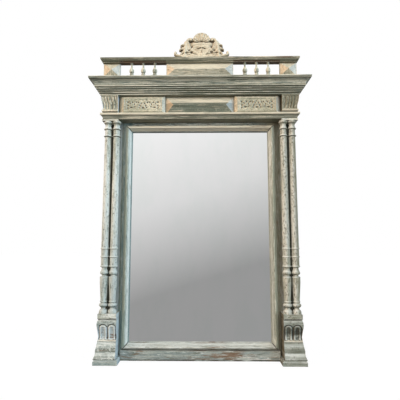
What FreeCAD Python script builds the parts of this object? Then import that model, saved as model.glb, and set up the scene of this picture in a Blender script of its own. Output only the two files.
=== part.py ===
import FreeCAD, Part
import math
import os

# A carved and painted wooden overmantel mirror with paired colonettes, in millimetres.
# +X is to the right as seen from the front, the front faces -Y and +Z is up.
# The origin is on the floor, under the middle of the bounding box.
# "Proud" is a distance forward from the wall plane at the back of the case.

# Case: two stiles, a top rail and a bottom rail with a rebate for the glass.
sight_half_width = 372.0
sight_height = 1118.0
case_side_setback = 17.0
case_thickness = 28.0
case_foot_gap = 4.0
glass_rebate_width = 10.0
glass_rebate_lip = 10.0
board_rebate_width = 22.0
board_rebate_depth = 10.0
tenon_length = 45.0
tenon_thickness = 9.0
tenon_shoulder = 14.0
top_tenon_shoulder = 60.0

# Glass and back.
glass_thickness = 4.0
glass_clearance = 1.0
backboard_thickness = 8.0
backboard_count = 3
wedge_length = 42.0
wedge_end_gap = 120.0
wedge_count = 4

# Moulding around the glass, mitred at the four corners.
moulding_width = 34.0
moulding_height = 34.0
moulding_setback = 3.0
mitre_gap = 2.5

# Base: board between the feet, plinths, consoles and the blocks on them.
base_board_thickness = 26.0
base_board_height = 49.0
foot_moulding_gap = 1.0
foot_width = 122.0
foot_projection = 82.0
plinth_height = 26.0
plinth_cove = 4.0
console_height = 191.0
console_waist_depth = 20.0
hood_width = 37.0
hood_bottom = 92.0
hood_top = 166.0
hood_depth = 5.0
hood_margin = 7.0
console_groove = 3.0
console_groove_height = 4.0
block_height = 28.0
block_inner_setback = 12.0
block_outer_setback = 16.0
block_front_setback = 8.0

# Colonettes, turned, in pairs. The insets run from the block to the axes.
colonette_gap = 2.0
colonette_side_inset = 26.0
colonette_front_inset = 24.0
colonette_radius = 22.0
colonette_base_height = 258.0
colonette_head_height = 50.0
shaft_foot_radius = 18.6
shaft_head_radius = 16.2
ring_height = 14.0
ring_rise = 22.0
ring_spacing = 42.5
foot_ring_count = 2
head_ring_drop = 85.0

# Entablature: abacus, architrave, frieze and cornice. The reaches run from the axes.
abacus_height = 9.0
abacus_inner_reach = 10.0
abacus_outer_reach = 30.0
abacus_front_reach = 19.0
architrave_moulding_gap = 16.0
architrave_height = 31.0
architrave_cove = 12.0
frieze_height = 98.0
frieze_board_thickness = 30.0
panel_thickness = 34.0
panel_gap = 5.0
centre_panel_half_width = 184.0
panel_corbel_gap = 16.0
panel_bevel = 14.0
panel_bevel_depth = 7.0
hipped_panel_depth = 20.0
hip_length = 42.0
ridge_width = 1.5
end_setback = 1.0
corbel_width = 90.0
corbel_front_setback = 6.0
corbel_sweep = 9.0
corbel_foot_height = 20.0
flute_count = 5
flute_margin = 7.0
flute_rib = 4.0
flute_depth = 4.0
flute_foot_gap = 5.0
flute_top_gap = 14.0
bed_height = 46.0
bed_side_setback = 3.0
bed_front_setback = 14.0
bed_projection = 31.0
crown_height = 40.0
crown_projection = 27.0
reed_count = 5
deck_thickness = 14.0

# Gallery on the cornice: blocks, balusters and rail.
gallery_height = 108.0
gallery_back_setback = 2.0
gallery_thickness = 28.0
end_block_width = 91.0
centre_block_half_width = 183.0
pyramid_height = 70.0
pyramid_margin = 3.0
pyramid_depth = 14.0
baluster_radius = 12.5
balusters_a_side = 3
gallery_rail_height = 24.0
gallery_rail_overhang = 13.0
gallery_rail_back_overhang = 4.0

# Carved crest on the gallery rail.
crest_half_width = 160.0
crest_height = 148.0
crest_thickness = 16.0
crest_back_setback = 8.0
crest_offset = 10.0
shell_radius = 49.0
shell_relief = 9.0
shell_chord_drop = 12.0
shell_flute_radius = 5.0
shell_flute_count = 9

# Wall fixing: two steel plates let into the back of the case.
plate_width = 32.0
plate_height = 84.0
plate_thickness = 2.5
plate_hole_radius = 5.0
plate_side_inset = 70.0
plate_drop = 120.0
pocket_radius = 10.0
pocket_depth = 12.0
plate_screw_spacing = 60.0
screw_radius = 2.0
screw_head_radius = 4.0
screw_length = 18.0

# Nails through the backboards.
nail_radius = 1.2
nail_head_radius = 3.0
nail_head_thickness = 1.0
nail_length = 20.0
nail_inset = 11.0
nail_side_inset = 34.0

# Levels that follow from the sizes above. The sight opening sets how tall the colonettes are.
sight_bottom = case_foot_gap + base_board_height + moulding_width
sight_top = sight_bottom + sight_height
plinth_top = plinth_height
console_top = plinth_top + console_height
block_top = console_top + block_height
abacus_top = sight_top + moulding_width + architrave_moulding_gap
colonette_top = abacus_top - abacus_height
architrave_top = abacus_top + architrave_height
frieze_top = architrave_top + frieze_height
bed_top = frieze_top + bed_height
cornice_top = bed_top + crown_height
case_top = cornice_top - deck_thickness
gallery_top = cornice_top + gallery_height
rail_top = gallery_top + gallery_rail_height

# Places across that follow, from the moulding outwards.
foot_inner = sight_half_width + moulding_width + foot_moulding_gap
foot_outer = foot_inner + foot_width
case_half_width = foot_outer - case_side_setback
block_inner = foot_inner + block_inner_setback
block_outer = foot_outer - block_outer_setback
colonette_inner_x = block_inner + colonette_side_inset
colonette_outer_x = colonette_inner_x + 2 * colonette_radius + colonette_gap
architrave_half_width = foot_outer
corbel_outer = architrave_half_width - end_setback
corbel_inner = corbel_outer - corbel_width
carved_panel_outer = corbel_inner - panel_corbel_gap
cornice_projection = bed_projection + crown_projection
cornice_half_width = architrave_half_width - bed_side_setback + cornice_projection
end_block_outer = architrave_half_width - end_setback
end_block_inner = end_block_outer - end_block_width
gallery_rail_half_width = end_block_outer + gallery_rail_overhang
plate_x = case_half_width - plate_side_inset

# Depths that follow, from the wall forwards.
rebate_floor = case_thickness - glass_rebate_lip
glass_back = rebate_floor - glass_thickness
base_board_face = case_thickness + base_board_thickness
frieze_face = case_thickness + frieze_board_thickness
gallery_back = frieze_face - gallery_back_setback
gallery_front = gallery_back + gallery_thickness
foot_proud = case_thickness + foot_projection
block_proud = foot_proud - block_front_setback
colonette_proud = block_proud - colonette_front_inset
architrave_proud = foot_proud
corbel_proud = architrave_proud - corbel_front_setback
cornice_proud = architrave_proud - bed_front_setback + cornice_projection
overrun = 1.0


def y_at(proud):
    """Y of a plane that lies this far in front of the wall plane."""
    return cornice_proud / 2 - proud


def arc(across, up):
    """Marks the middle point of an arc in an outline."""
    return ("arc", across, up)


def sized(shares, width, height):
    """An outline in shares of a width and a height, as real sizes."""
    outline = []
    for point in shares:
        scaled = (point[-2] * width, point[-1] * height)
        outline.append(arc(*scaled) if len(point) > 2 else scaled)
    return outline


def moved(outline, across, up, flip_across=1, flip_up=1):
    """The outline mirrored where a flip is -1, then shifted."""
    shifted = []
    for point in outline:
        place = (across + flip_across * point[-2], up + flip_up * point[-1])
        shifted.append(arc(*place) if len(point) > 2 else place)
    return shifted


def outline_wire(outline, place, closed=True):
    """A wire through the outline's corners, with arcs where it marks them."""
    stops = outline + [outline[0]] if closed else outline
    edges = []
    here = stops[0]
    middle = None
    for point in stops[1:]:
        if len(point) > 2:
            middle = point[1:]
        elif middle is None:
            edges.append(Part.LineSegment(place(*here), place(*point)).toShape())
            here = point
        else:
            edges.append(Part.Arc(place(*here), place(*middle), place(*point)).toShape())
            here = point
            middle = None
    return Part.Wire(edges)


def along_x(outline, left, right):
    """A solid with a (proud, z) outline between two X places."""
    wire = outline_wire(outline, lambda proud, z: FreeCAD.Vector(left, y_at(proud), z))
    return Part.Face(wire).extrude(FreeCAD.Vector(right - left, 0, 0))


def along_y(outline, back, front):
    """A solid with an (x, z) outline between two depths."""
    wire = outline_wire(outline, lambda x, z: FreeCAD.Vector(x, y_at(back), z))
    return Part.Face(wire).extrude(FreeCAD.Vector(0, y_at(front) - y_at(back), 0))


def along_z(outline, bottom, top):
    """A solid with an (x, proud) outline between two heights."""
    wire = outline_wire(outline, lambda x, proud: FreeCAD.Vector(x, y_at(proud), bottom))
    return Part.Face(wire).extrude(FreeCAD.Vector(0, 0, top - bottom))


def block(left, right, back, front, bottom, top):
    """A plain block between three pairs of places."""
    corner = FreeCAD.Vector(left, y_at(front), bottom)
    return Part.makeBox(right - left, front - back, top - bottom, corner)


def turned(outline, x, proud, bottom):
    """A turned solid from a (radius, height) outline that starts and ends on the axis."""
    y = y_at(proud)
    wire = outline_wire(outline, lambda radius, up: FreeCAD.Vector(x + radius, y, bottom + up))
    return Part.Face(wire).revolve(FreeCAD.Vector(x, y, bottom), FreeCAD.Vector(0, 0, 1), 360)


def rod(radius, x, z, back, front):
    """A round rod along the depth between two depths."""
    forward = FreeCAD.Vector(0, -1, 0)
    return Part.makeCylinder(radius, front - back, FreeCAD.Vector(x, y_at(back), z), forward)


def sloped_front(left, right, back, front, bottom, top, side_bevel, level_bevel, depth):
    """A block with a front that slopes up to a smaller field."""
    shoulder = front - depth
    body = block(left, right, back, shoulder, bottom, top)
    low = rectangle_wire(left, right, bottom, top, shoulder)
    high = rectangle_wire(left + side_bevel, right - side_bevel,
                          bottom + level_bevel, top - level_bevel, front)
    return body.fuse(Part.makeLoft([low, high], True, True)).removeSplitter()


def rectangle_wire(left, right, bottom, top, proud):
    """An upright rectangle at one depth."""
    corners = [(left, bottom), (right, bottom), (right, top), (left, top)]
    return outline_wire(corners, lambda x, z: FreeCAD.Vector(x, y_at(proud), z))


def mirrored(shape):
    """The same shape on the other side of the middle plane."""
    return shape.mirror(FreeCAD.Vector(0, 0, 0), FreeCAD.Vector(1, 0, 0))


def write(name, shape):
    """Writes one sub-part and reports its solids and volume."""
    if not shape.isValid():
        raise ValueError(name + " is not a valid shape")
    shape.exportStep("parts/" + name + ".step")
    print(name, len(shape.Solids), round(shape.Volume))


def write_pair(name, shape):
    """Writes the right-hand piece and its left-hand mirror image."""
    write("right_" + name, shape)
    write("left_" + name, mirrored(shape))


def glass_rebates():
    """What the two rebates behind the sight opening take away."""
    reach = sight_half_width + glass_rebate_width
    glass = block(-reach, reach, -overrun, rebate_floor,
                  sight_bottom - glass_rebate_width, sight_top + glass_rebate_width)
    reach = sight_half_width + board_rebate_width
    boards = block(-reach, reach, -overrun, board_rebate_depth,
                   sight_bottom - board_rebate_width, sight_top + board_rebate_width)
    return glass.fuse(boards)


def tenon(bottom, top):
    """The tongue at the right end of a rail."""
    back = (case_thickness - tenon_thickness) / 2
    end = sight_half_width + tenon_length
    return block(sight_half_width, end, back, back + tenon_thickness, bottom, top)


def top_rail():
    rail = block(-sight_half_width, sight_half_width, 0, case_thickness, sight_top, case_top)
    tongue = tenon(sight_top + top_tenon_shoulder, case_top - tenon_shoulder)
    rail = rail.fuse([tongue, mirrored(tongue)])
    return rail.cut(glass_rebates()), tongue


def bottom_rail():
    rail = block(-sight_half_width, sight_half_width, 0, case_thickness, case_foot_gap, sight_bottom)
    tongue = tenon(tenon_shoulder, sight_bottom - board_rebate_width - overrun)
    rail = rail.fuse([tongue, mirrored(tongue)])
    return rail.cut(glass_rebates()), tongue


def plate_places():
    """X and Z of the two wall plates' hanging holes, the right one first."""
    height = case_top - plate_drop
    return [(plate_x, height), (-plate_x, height)]


def plate_screw_places():
    """X and Z of the screws, above and below each hanging hole."""
    places = []
    for x, z in plate_places():
        places.append((x, z - plate_screw_spacing / 2))
        places.append((x, z + plate_screw_spacing / 2))
    return places


def plate_pocket():
    """The recess, the head pocket and the screw holes for the right-hand plate."""
    x, z = plate_places()[0]
    cut = block(x - plate_width / 2, x + plate_width / 2, -overrun, plate_thickness,
                z - plate_height / 2, z + plate_height / 2)
    cut = cut.fuse(rod(pocket_radius, x, z, 0, pocket_depth))
    for screw_x, screw_z in plate_screw_places()[:2]:
        cut = cut.fuse(rod(screw_radius, screw_x, screw_z, 0, screw_length))
    return cut


def stile(tongues):
    body = block(sight_half_width, case_half_width, 0, case_thickness, 0, case_top)
    return body.cut([glass_rebates(), plate_pocket()] + tongues)


def wall_plate(x, z):
    plate = block(x - plate_width / 2, x + plate_width / 2, 0, plate_thickness,
                  z - plate_height / 2, z + plate_height / 2)
    cuts = [rod(plate_hole_radius, x, z, -overrun, plate_thickness + overrun)]
    for screw_x, screw_z in plate_screw_places():
        cuts.append(countersunk_screw(screw_x, screw_z))
    return plate.cut(cuts)


def countersunk_screw(x, z):
    outline = [(0, 0), (screw_head_radius, 0), (screw_radius, plate_thickness),
               (screw_radius, screw_length), (0, screw_length)]
    wire = outline_wire(outline, lambda radius, depth: FreeCAD.Vector(x + radius, y_at(depth), z))
    return Part.Face(wire).revolve(FreeCAD.Vector(x, y_at(0), z), FreeCAD.Vector(0, 1, 0), 360)


def glass():
    reach = sight_half_width + glass_rebate_width - glass_clearance
    gap = glass_rebate_width - glass_clearance
    return block(-reach, reach, glass_back, rebate_floor, sight_bottom - gap, sight_top + gap)


def glass_wedges():
    """Little wooden wedges in the rebate that press the glass forward."""
    outer = sight_half_width + glass_rebate_width
    inner = outer - glass_rebate_width + glass_clearance
    outline = [(inner, glass_back), (outer, glass_back), (outer, board_rebate_depth)]
    run = sight_height - 2 * wedge_end_gap - wedge_length
    wedges = []
    for number in range(wedge_count):
        bottom = sight_bottom + wedge_end_gap + run * number / (wedge_count - 1)
        wedge = along_z(outline, bottom, bottom + wedge_length)
        wedges.append(wedge)
        wedges.append(mirrored(wedge))
    return Part.makeCompound(wedges)


def backboard_edges():
    """The X places where one backboard ends and the next begins."""
    reach = sight_half_width + board_rebate_width - glass_clearance
    width = 2 * reach / backboard_count
    return [-reach + width * number for number in range(backboard_count + 1)]


def nail_places(left, right):
    """Two nails near each end of a board."""
    height = board_rebate_width - nail_inset
    places = []
    for x in (left + nail_side_inset, right - nail_side_inset):
        places.append((x, sight_bottom - height))
        places.append((x, sight_top + height))
    return places


def nail(x, z):
    head = board_rebate_depth - backboard_thickness
    shank = rod(nail_radius, x, z, head, head + nail_length)
    return shank.fuse(rod(nail_head_radius, x, z, head - nail_head_thickness, head))


def all_nails():
    edges = backboard_edges()
    nails = []
    for left, right in zip(edges, edges[1:]):
        nails += [nail(x, z) for x, z in nail_places(left, right)]
    return nails


def backboard(left, right, nails):
    gap = board_rebate_width - glass_clearance
    back = board_rebate_depth - backboard_thickness
    board = block(left, right, back, board_rebate_depth, sight_bottom - gap, sight_top + gap)
    return board.cut(nails)


# The glass moulding's outline from its inner foot, as shares of its width and height.
moulding_shares = [
    (0, 0), (0, 0.17), ("arc", 0.16, 0.50), (0.30, 0.93), ("arc", 0.40, 1.0), (0.50, 0.95),
    ("arc", 0.77, 0.62), (1.0, 0.20), (1.0, 0),
]


def moulding_outline():
    """The moulding's outline as (distance out from the sight edge, proud)."""
    shape = sized(moulding_shares, moulding_width - moulding_setback, moulding_height)
    return moved(shape, moulding_setback, case_thickness)


def glass_moulding_side():
    """The right-hand length of the moulding, cut to its mitres. The lower mitre has opened a little."""
    reach = moulding_width
    outline = moved(moulding_outline(), sight_half_width, 0)
    length = along_z(outline, sight_bottom - reach, sight_top + reach)
    foot = sight_bottom + mitre_gap
    mitre = [(sight_half_width, foot), (sight_half_width + reach, foot - reach),
             (sight_half_width + reach, sight_top + reach), (sight_half_width, sight_top)]
    return length.common(along_y(mitre, case_thickness, case_thickness + moulding_height))


def glass_moulding_level(edge, outward):
    """The top or bottom length of the moulding: outward is 1 above the glass and -1 below it."""
    reach = moulding_width
    flipped = []
    for point in moulding_outline():
        place = (point[-1], edge + outward * point[-2])
        flipped.append(arc(*place) if len(point) > 2 else place)
    length = along_x(flipped, -sight_half_width - reach, sight_half_width + reach)
    far = edge + outward * reach
    mitre = [(-sight_half_width, edge), (sight_half_width, edge),
             (sight_half_width + reach, far), (-sight_half_width - reach, far)]
    return length.common(along_y(mitre, case_thickness, case_thickness + moulding_height))


def base_board():
    return block(-foot_inner, foot_inner, case_thickness, base_board_face,
                 case_foot_gap, case_foot_gap + base_board_height)


def both_ways(front_outline, side_outline, inner, outer, back, front):
    """A solid with one outline seen from the side and another seen from the front."""
    deep = along_x(front_outline, inner, outer)
    wide = along_y(side_outline, back, front)
    return deep.common(wide)


# The plinth's edge from the floor up, as shares of the cove's depth and the height.
plinth_edge_shares = [(0, 0), (0, 0.69), ("arc", -0.80, 0.82), (-1.0, 1.0)]


def plinth():
    """A foot with a small cove round its top on the front and both sides."""
    edge = sized(plinth_edge_shares, plinth_cove, plinth_height)
    front = moved(edge, foot_proud, 0) + [(case_thickness, plinth_height), (case_thickness, 0)]
    outer = moved(edge, foot_outer, 0)
    inner = moved(edge, foot_inner, 0, flip_across=-1)
    return both_ways(front, outer + inner[::-1], foot_inner, foot_outer, case_thickness, foot_proud)


# The console's swept edge from its foot up, as shares of the waist's depth and the height.
console_sweep_shares = [
    (0.05, 0), (0.05, 0.03), ("arc", 0.32, 0.10), (0.42, 0.22), ("arc", 0.72, 0.38), (1.0, 0.56),
    ("arc", 0.80, 0.70), (0.60, 0.83), ("arc", 0.64, 0.93), (0.86, 1.0),
]


def console_body(setback):
    """The console's swept body, with its front and outer side set back."""
    sweep = sized(console_sweep_shares, -console_waist_depth, console_height)
    front = moved(sweep, foot_proud - setback, plinth_top)
    front += [(case_thickness, console_top), (case_thickness, plinth_top)]
    side = moved(sweep, foot_outer - setback, plinth_top)
    side += [(block_inner, console_top), (block_inner, plinth_top)]
    return both_ways(front, side, block_inner, foot_outer - setback, case_thickness, foot_proud - setback)


def arched_field(left, right, bottom, top):
    """A field with a round top, seen from the front."""
    radius = (right - left) / 2
    outline = [(left, bottom), (right, bottom), (right, top - radius),
               arc((left + right) / 2, top), (left, top - radius)]
    return along_y(outline, case_thickness, foot_proud)


def console():
    """A bracket that sweeps in to a waist and out again, with two arched fields sunk into its front."""
    fields = []
    for left in (block_inner + hood_margin, block_outer - hood_margin - hood_width):
        field = arched_field(left, left + hood_width, plinth_top + hood_bottom, plinth_top + hood_top)
        fields.append(field.cut(console_body(hood_depth)))
    return console_body(0).cut(fields)


def console_block():
    """The block that the two colonettes stand on, with a groove round its foot."""
    groove_top = console_top + console_groove_height
    front = [(case_thickness, console_top), (block_proud - console_groove, console_top),
             (block_proud - console_groove, groove_top), (block_proud, groove_top),
             (block_proud, block_top), (case_thickness, block_top)]
    side = [(block_inner, console_top), (block_outer - console_groove, console_top),
            (block_outer - console_groove, groove_top), (block_outer, groove_top),
            (block_outer, block_top), (block_inner, block_top)]
    return both_ways(front, side, block_inner, block_outer, case_thickness, block_proud)


# The turned foot of a colonette up to its lowest ring, as shares of its largest radius and of the
# foot's height: a bell, a disc, a small ring, a vase, a ball and the ring.
colonette_foot_shares = [
    (0, 0), (0.98, 0), (0.98, 0.027), ("arc", 0.90, 0.056), (0.56, 0.086), (0.53, 0.110),
    (0.86, 0.136), ("arc", 1.0, 0.161), (0.86, 0.187), (0.66, 0.196), (0.66, 0.209),
    (0.78, 0.217), ("arc", 0.82, 0.227), (0.78, 0.238), (0.68, 0.244), ("arc", 0.82, 0.431),
    (0.96, 0.601), (0.96, 0.686), ("arc", 0.94, 0.705), (0.82, 0.713), (0.56, 0.721), (0.56, 0.747),
    (0.84, 0.758), ("arc", 0.95, 0.781), (0.88, 0.807), ("arc", 0.66, 0.852), (0.62, 0.888),
    (0.97, 0.903), (1.0, 0.913), ("arc", 0.89, 0.927), (0.845, 0.957), (0.845, 1.0),
]

# Its turned head above the shaft, as shares of the same radius and of the head's height: a groove,
# a lower lip, a bell and an upper lip.
colonette_head_shares = [
    (0.74, 0), (0.68, 0.04), (0.96, 0.09), (1.0, 0.14), ("arc", 0.75, 0.34), (0.67, 0.52),
    ("arc", 0.76, 0.65), (0.98, 0.76), (1.04, 0.81), (1.04, 0.91), (0.92, 0.94), (0.92, 1.0), (0, 1.0),
]

# A ring round the shaft with a sharp lower edge over a groove, as shares of how far it stands out
# from the shaft and of its height.
ring_shares = [(0.05, -0.22), (-0.35, -0.05), (0.85, 0.08), (1.0, 0.25), ("arc", 0.30, 0.50), (0, 1.0)]


def shaft_ring(shaft_radius, level):
    outline = sized(ring_shares, colonette_radius - shaft_radius, ring_height)
    return moved(outline, shaft_radius, level)


def colonette(x):
    """A turned column: foot, rings, a tapered shaft, one more ring and the head."""
    height = colonette_top - block_top
    outline = sized(colonette_foot_shares, colonette_radius, colonette_base_height)
    for number in range(foot_ring_count):
        level = colonette_base_height + ring_rise + ring_spacing * number
        outline += shaft_ring(shaft_foot_radius, level)
    outline += shaft_ring(shaft_head_radius, height - head_ring_drop)
    head = sized(colonette_head_shares, colonette_radius, colonette_head_height)
    outline += moved(head, 0, height - colonette_head_height)
    return turned(outline, x, colonette_proud, block_top)


def abacus():
    left = colonette_inner_x - abacus_inner_reach
    right = colonette_outer_x + abacus_outer_reach
    front = colonette_proud + abacus_front_reach
    return block(left, right, case_thickness, front, colonette_top, abacus_top)


# The architrave's edge from the bottom up, as shares of its cove's depth and its height.
architrave_edge_shares = [(-1.0, 0), ("arc", -0.75, 0.42), (-0.10, 0.68), (0, 0.68), (0, 1.0)]


def architrave():
    """A shelf across the full width with a fillet over a cove on its front and ends."""
    edge = sized(architrave_edge_shares, architrave_cove, architrave_height)
    front = moved(edge, architrave_proud, abacus_top)
    front += [(case_thickness, architrave_top), (case_thickness, abacus_top)]
    right = moved(edge, architrave_half_width, abacus_top)
    left = moved(edge, -architrave_half_width, abacus_top, flip_across=-1)
    return both_ways(front, right + left[::-1], -architrave_half_width, architrave_half_width,
                     case_thickness, architrave_proud)


def frieze_board():
    return block(-case_half_width, case_half_width, case_thickness, frieze_face, architrave_top, case_top)


def carved_panel():
    """The block that holds the carved field, with a bevelled border."""
    left = centre_panel_half_width + panel_gap
    return sloped_front(left, carved_panel_outer, frieze_face, frieze_face + panel_thickness,
                        architrave_top, frieze_top, panel_bevel, panel_bevel, panel_bevel_depth)


def hipped_panel(left, right, bottom, top, back, shoulder, front, hip):
    """A block whose front is a hipped roof with a narrow flat ridge, or a pyramid."""
    rise = (top - bottom - ridge_width) / 2
    return sloped_front(left, right, back, front, bottom, top, hip, rise, front - shoulder)


def centre_panel():
    front = frieze_face + panel_thickness
    return hipped_panel(-centre_panel_half_width, centre_panel_half_width, architrave_top, frieze_top,
                        frieze_face, front - hipped_panel_depth, front, hip_length)


# The corbel's swept edge from its foot up, as shares of the sweep and the height above the foot.
corbel_sweep_shares = [
    (0.95, 0), ("arc", 0.98, 0.18), (0.75, 0.38), ("arc", 0.30, 0.60), (0, 0.85), (0, 1.0),
]


# Its foot, a fillet over a cavetto, as shares of the sweep and the foot's height.
corbel_foot_shares = [
    (-0.95, 0), ("arc", -0.92, 0.35), (-0.45, 0.55), (-0.45, 1.0),
]


def corbel_body(setback):
    """The corbel's swept body, with its front and outer side set back."""
    sweep = sized(corbel_sweep_shares, -corbel_sweep, frieze_height - corbel_foot_height)
    edge = sized(corbel_foot_shares, corbel_sweep, corbel_foot_height)
    edge += moved(sweep, 0, corbel_foot_height)
    front = moved(edge, corbel_proud - setback, architrave_top)
    front += [(frieze_face, frieze_top), (frieze_face, architrave_top)]
    side = moved(edge, corbel_outer - setback, architrave_top)
    side += [(corbel_inner, frieze_top), (corbel_inner, architrave_top)]
    return both_ways(front, side, corbel_inner, corbel_outer - setback, frieze_face, corbel_proud - setback)


def corbel():
    """A small bracket over each pair of colonettes, with round-topped flutes in its front."""
    room = corbel_width - corbel_sweep - 2 * flute_margin
    width = (room - (flute_count - 1) * flute_rib) / flute_count
    flutes = []
    for number in range(flute_count):
        left = corbel_inner + flute_margin + number * (width + flute_rib)
        flute = arched_field(left, left + width, architrave_top + corbel_foot_height + flute_foot_gap,
                             frieze_top - flute_top_gap)
        flutes.append(flute.cut(corbel_body(flute_depth)))
    return corbel_body(0).cut(flutes)


# One reed of the cornice's lower member, as shares of its step out and its step up.
reed_shares = [(0.15, 0.22), ("arc", 1.30, 0.42), (0.75, 0.92)]


def bed_edge():
    """The reeded edge of the cornice's lower member, from the bottom up, as (out, up)."""
    step_out = bed_projection / reed_count
    step_up = bed_height / reed_count
    reed = sized(reed_shares, step_out, step_up)
    edge = [(0, 0)]
    for number in range(reed_count):
        edge += moved(reed, step_out * number, step_up * number)
    edge.append((bed_projection, bed_height))
    return edge


# The crown's edge from the bottom up, as shares of its projection and its height.
crown_shares = [
    (0, 0), (0.06, 0.08), ("arc", 0.30, 0.42), (0.68, 0.60), (0.62, 0.67), (0.74, 0.70),
    ("arc", 0.98, 0.77), (0.78, 0.85), (0.86, 0.88), (1.0, 0.88), (1.0, 1.0),
]


def cornice_piece(edge, start_out, bottom, height):
    """Front and right-hand return of one cornice member, mitred where they meet."""
    deep = cornice_proud - frieze_face
    start_in = cornice_projection - start_out
    front_edge = moved(edge, cornice_proud - start_in, bottom)
    front_outline = front_edge + [(frieze_face, bottom + height), (frieze_face, bottom)]
    front = along_x(front_outline, -cornice_half_width, cornice_half_width)
    plan = [(-cornice_half_width, cornice_proud), (cornice_half_width, cornice_proud),
            (cornice_half_width - deep, frieze_face), (-cornice_half_width + deep, frieze_face)]
    front = front.common(along_z(plan, bottom, bottom + height))
    side_edge = moved(edge, cornice_half_width - start_in, bottom)
    start = cornice_half_width - deep
    side_outline = side_edge + [(start, bottom + height), (start, bottom)]
    side = along_y(side_outline, 0, cornice_proud)
    plan = [(cornice_half_width, cornice_proud), (start, frieze_face), (case_half_width, frieze_face),
            (case_half_width, 0), (cornice_half_width, 0)]
    side = side.common(along_z(plan, bottom, bottom + height))
    return front, side


def deck():
    return block(-case_half_width, case_half_width, 0, frieze_face, case_top, cornice_top)


def gallery_block(left, right):
    """A gallery block with a raised pyramid or hipped panel on its upper part."""
    shoulder = gallery_front - pyramid_depth
    body = block(left, right, gallery_back, shoulder, cornice_top, gallery_top)
    top = gallery_top - pyramid_margin
    hip = min(hip_length, (right - left - ridge_width) / 2 - pyramid_margin)
    panel = hipped_panel(left + pyramid_margin, right - pyramid_margin, top - pyramid_height, top,
                         shoulder - overrun, shoulder, gallery_front, hip)
    return body.fuse(panel).removeSplitter()


# A baluster from its foot up, as shares of its radius and of the gallery's height.
baluster_shares = [
    (0, 0), (0.95, 0), (0.95, 0.09), (0.55, 0.13), ("arc", 0.70, 0.24), (0.50, 0.35),
    (0.88, 0.375), (0.88, 0.425), (0.50, 0.455), ("arc", 1.0, 0.575), (0.78, 0.70),
    ("arc", 0.46, 0.78), (0.36, 0.86), (0.36, 0.91), (0.64, 0.975), (0.64, 1.0), (0, 1.0),
]


def baluster(x):
    outline = sized(baluster_shares, baluster_radius, gallery_height)
    return turned(outline, x, (gallery_back + gallery_front) / 2, cornice_top)


# The rail's edge from the bottom up, as shares of its overhang and its height.
rail_edge_shares = [
    (-1.0, 0), (-1.0, 0.17), ("arc", -0.42, 0.32), (-0.20, 0.67), (0, 0.67), (0, 1.0),
]


def gallery_rail():
    """The rail on the balusters, moulded on its front and ends."""
    edge = sized(rail_edge_shares, gallery_rail_overhang, gallery_rail_height)
    back = gallery_back - gallery_rail_back_overhang
    front = moved(edge, gallery_front + gallery_rail_overhang, gallery_top)
    front += [(back, rail_top), (back, gallery_top)]
    right = moved(edge, gallery_rail_half_width, gallery_top)
    left = moved(edge, -gallery_rail_half_width, gallery_top, flip_across=-1)
    return both_ways(front, right + left[::-1], -gallery_rail_half_width, gallery_rail_half_width,
                     back, gallery_front + gallery_rail_overhang)


# The crest's right-hand edge from its base to the shell, as shares of half width and height.
crest_edge_shares = [
    (1.0, 0), ("arc", 0.99, 0.09), (0.92, 0.19), ("arc", 0.865, 0.235), (0.815, 0.18),
    (0.79, 0.23), ("arc", 0.81, 0.31), (0.74, 0.35), (0.745, 0.39), ("arc", 0.74, 0.47), (0.67, 0.49),
    ("arc", 0.585, 0.64), (0.475, 0.745), ("arc", 0.41, 0.79), (0.35, 0.73), (0.30, 0.70),
]


def crest_plate():
    """The crest's flat ground, cut to its outline."""
    right = sized(crest_edge_shares, crest_half_width, crest_height)
    left = moved(right, 0, 0, flip_across=-1)[::-1]
    outline = moved(right + left, crest_offset, rail_top)
    back = gallery_back + crest_back_setback
    return along_y(outline, back, back + crest_thickness)


def crest_shell():
    """The fluted shell at the top of the crest."""
    centre = rail_top + crest_height - shell_radius
    back = gallery_back + crest_back_setback
    front = back + crest_thickness + shell_relief
    shell = rod(shell_radius, crest_offset, centre, back, front)
    low = centre - shell_chord_drop
    shell = shell.cut(block(crest_offset - crest_half_width, crest_offset + crest_half_width,
                            back - overrun, front + overrun, rail_top - overrun, low))
    flutes = []
    hub = FreeCAD.Vector(crest_offset, y_at(front + shell_flute_radius / 3), low)
    for number in range(shell_flute_count):
        angle = math.pi * (2 * number + 1) / (2 * shell_flute_count)
        way = FreeCAD.Vector(math.cos(angle), 0, math.sin(angle))
        flutes.append(Part.makeCone(overrun, shell_flute_radius, 2 * shell_radius, hub, way))
    return shell.cut(flutes)


def crest():
    return crest_plate().fuse(crest_shell()).removeSplitter()


def write_case():
    rail, top_tongue = top_rail()
    low_rail, low_tongue = bottom_rail()
    nails = all_nails()
    write("top_rail", rail.cut(nails))
    write("bottom_rail", low_rail.cut(nails))
    write_pair("stile", stile([top_tongue, low_tongue]))
    write("wall_plate_right", wall_plate(*plate_places()[0]))
    write("wall_plate_left", wall_plate(*plate_places()[1]))
    screws = [countersunk_screw(x, z) for x, z in plate_screw_places()]
    write("wall_plate_screws", Part.makeCompound(screws))


def write_glass_and_back():
    write("mirror_glass", glass())
    write("glass_wedges", glass_wedges())
    edges = backboard_edges()
    nails = all_nails()
    for number in range(backboard_count):
        write("backboard_" + str(number + 1), backboard(edges[number], edges[number + 1], nails))
    write("backboard_nails", Part.makeCompound(nails))
    write_pair("glass_moulding", glass_moulding_side())
    write("top_glass_moulding", glass_moulding_level(sight_top, 1))
    write("bottom_glass_moulding", glass_moulding_level(sight_bottom, -1))


def write_base():
    write("base_board", base_board())
    write_pair("plinth", plinth())
    write_pair("console", console())
    write_pair("console_block", console_block())
    write_pair("inner_colonette", colonette(colonette_inner_x))
    write_pair("outer_colonette", colonette(colonette_outer_x))


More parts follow.
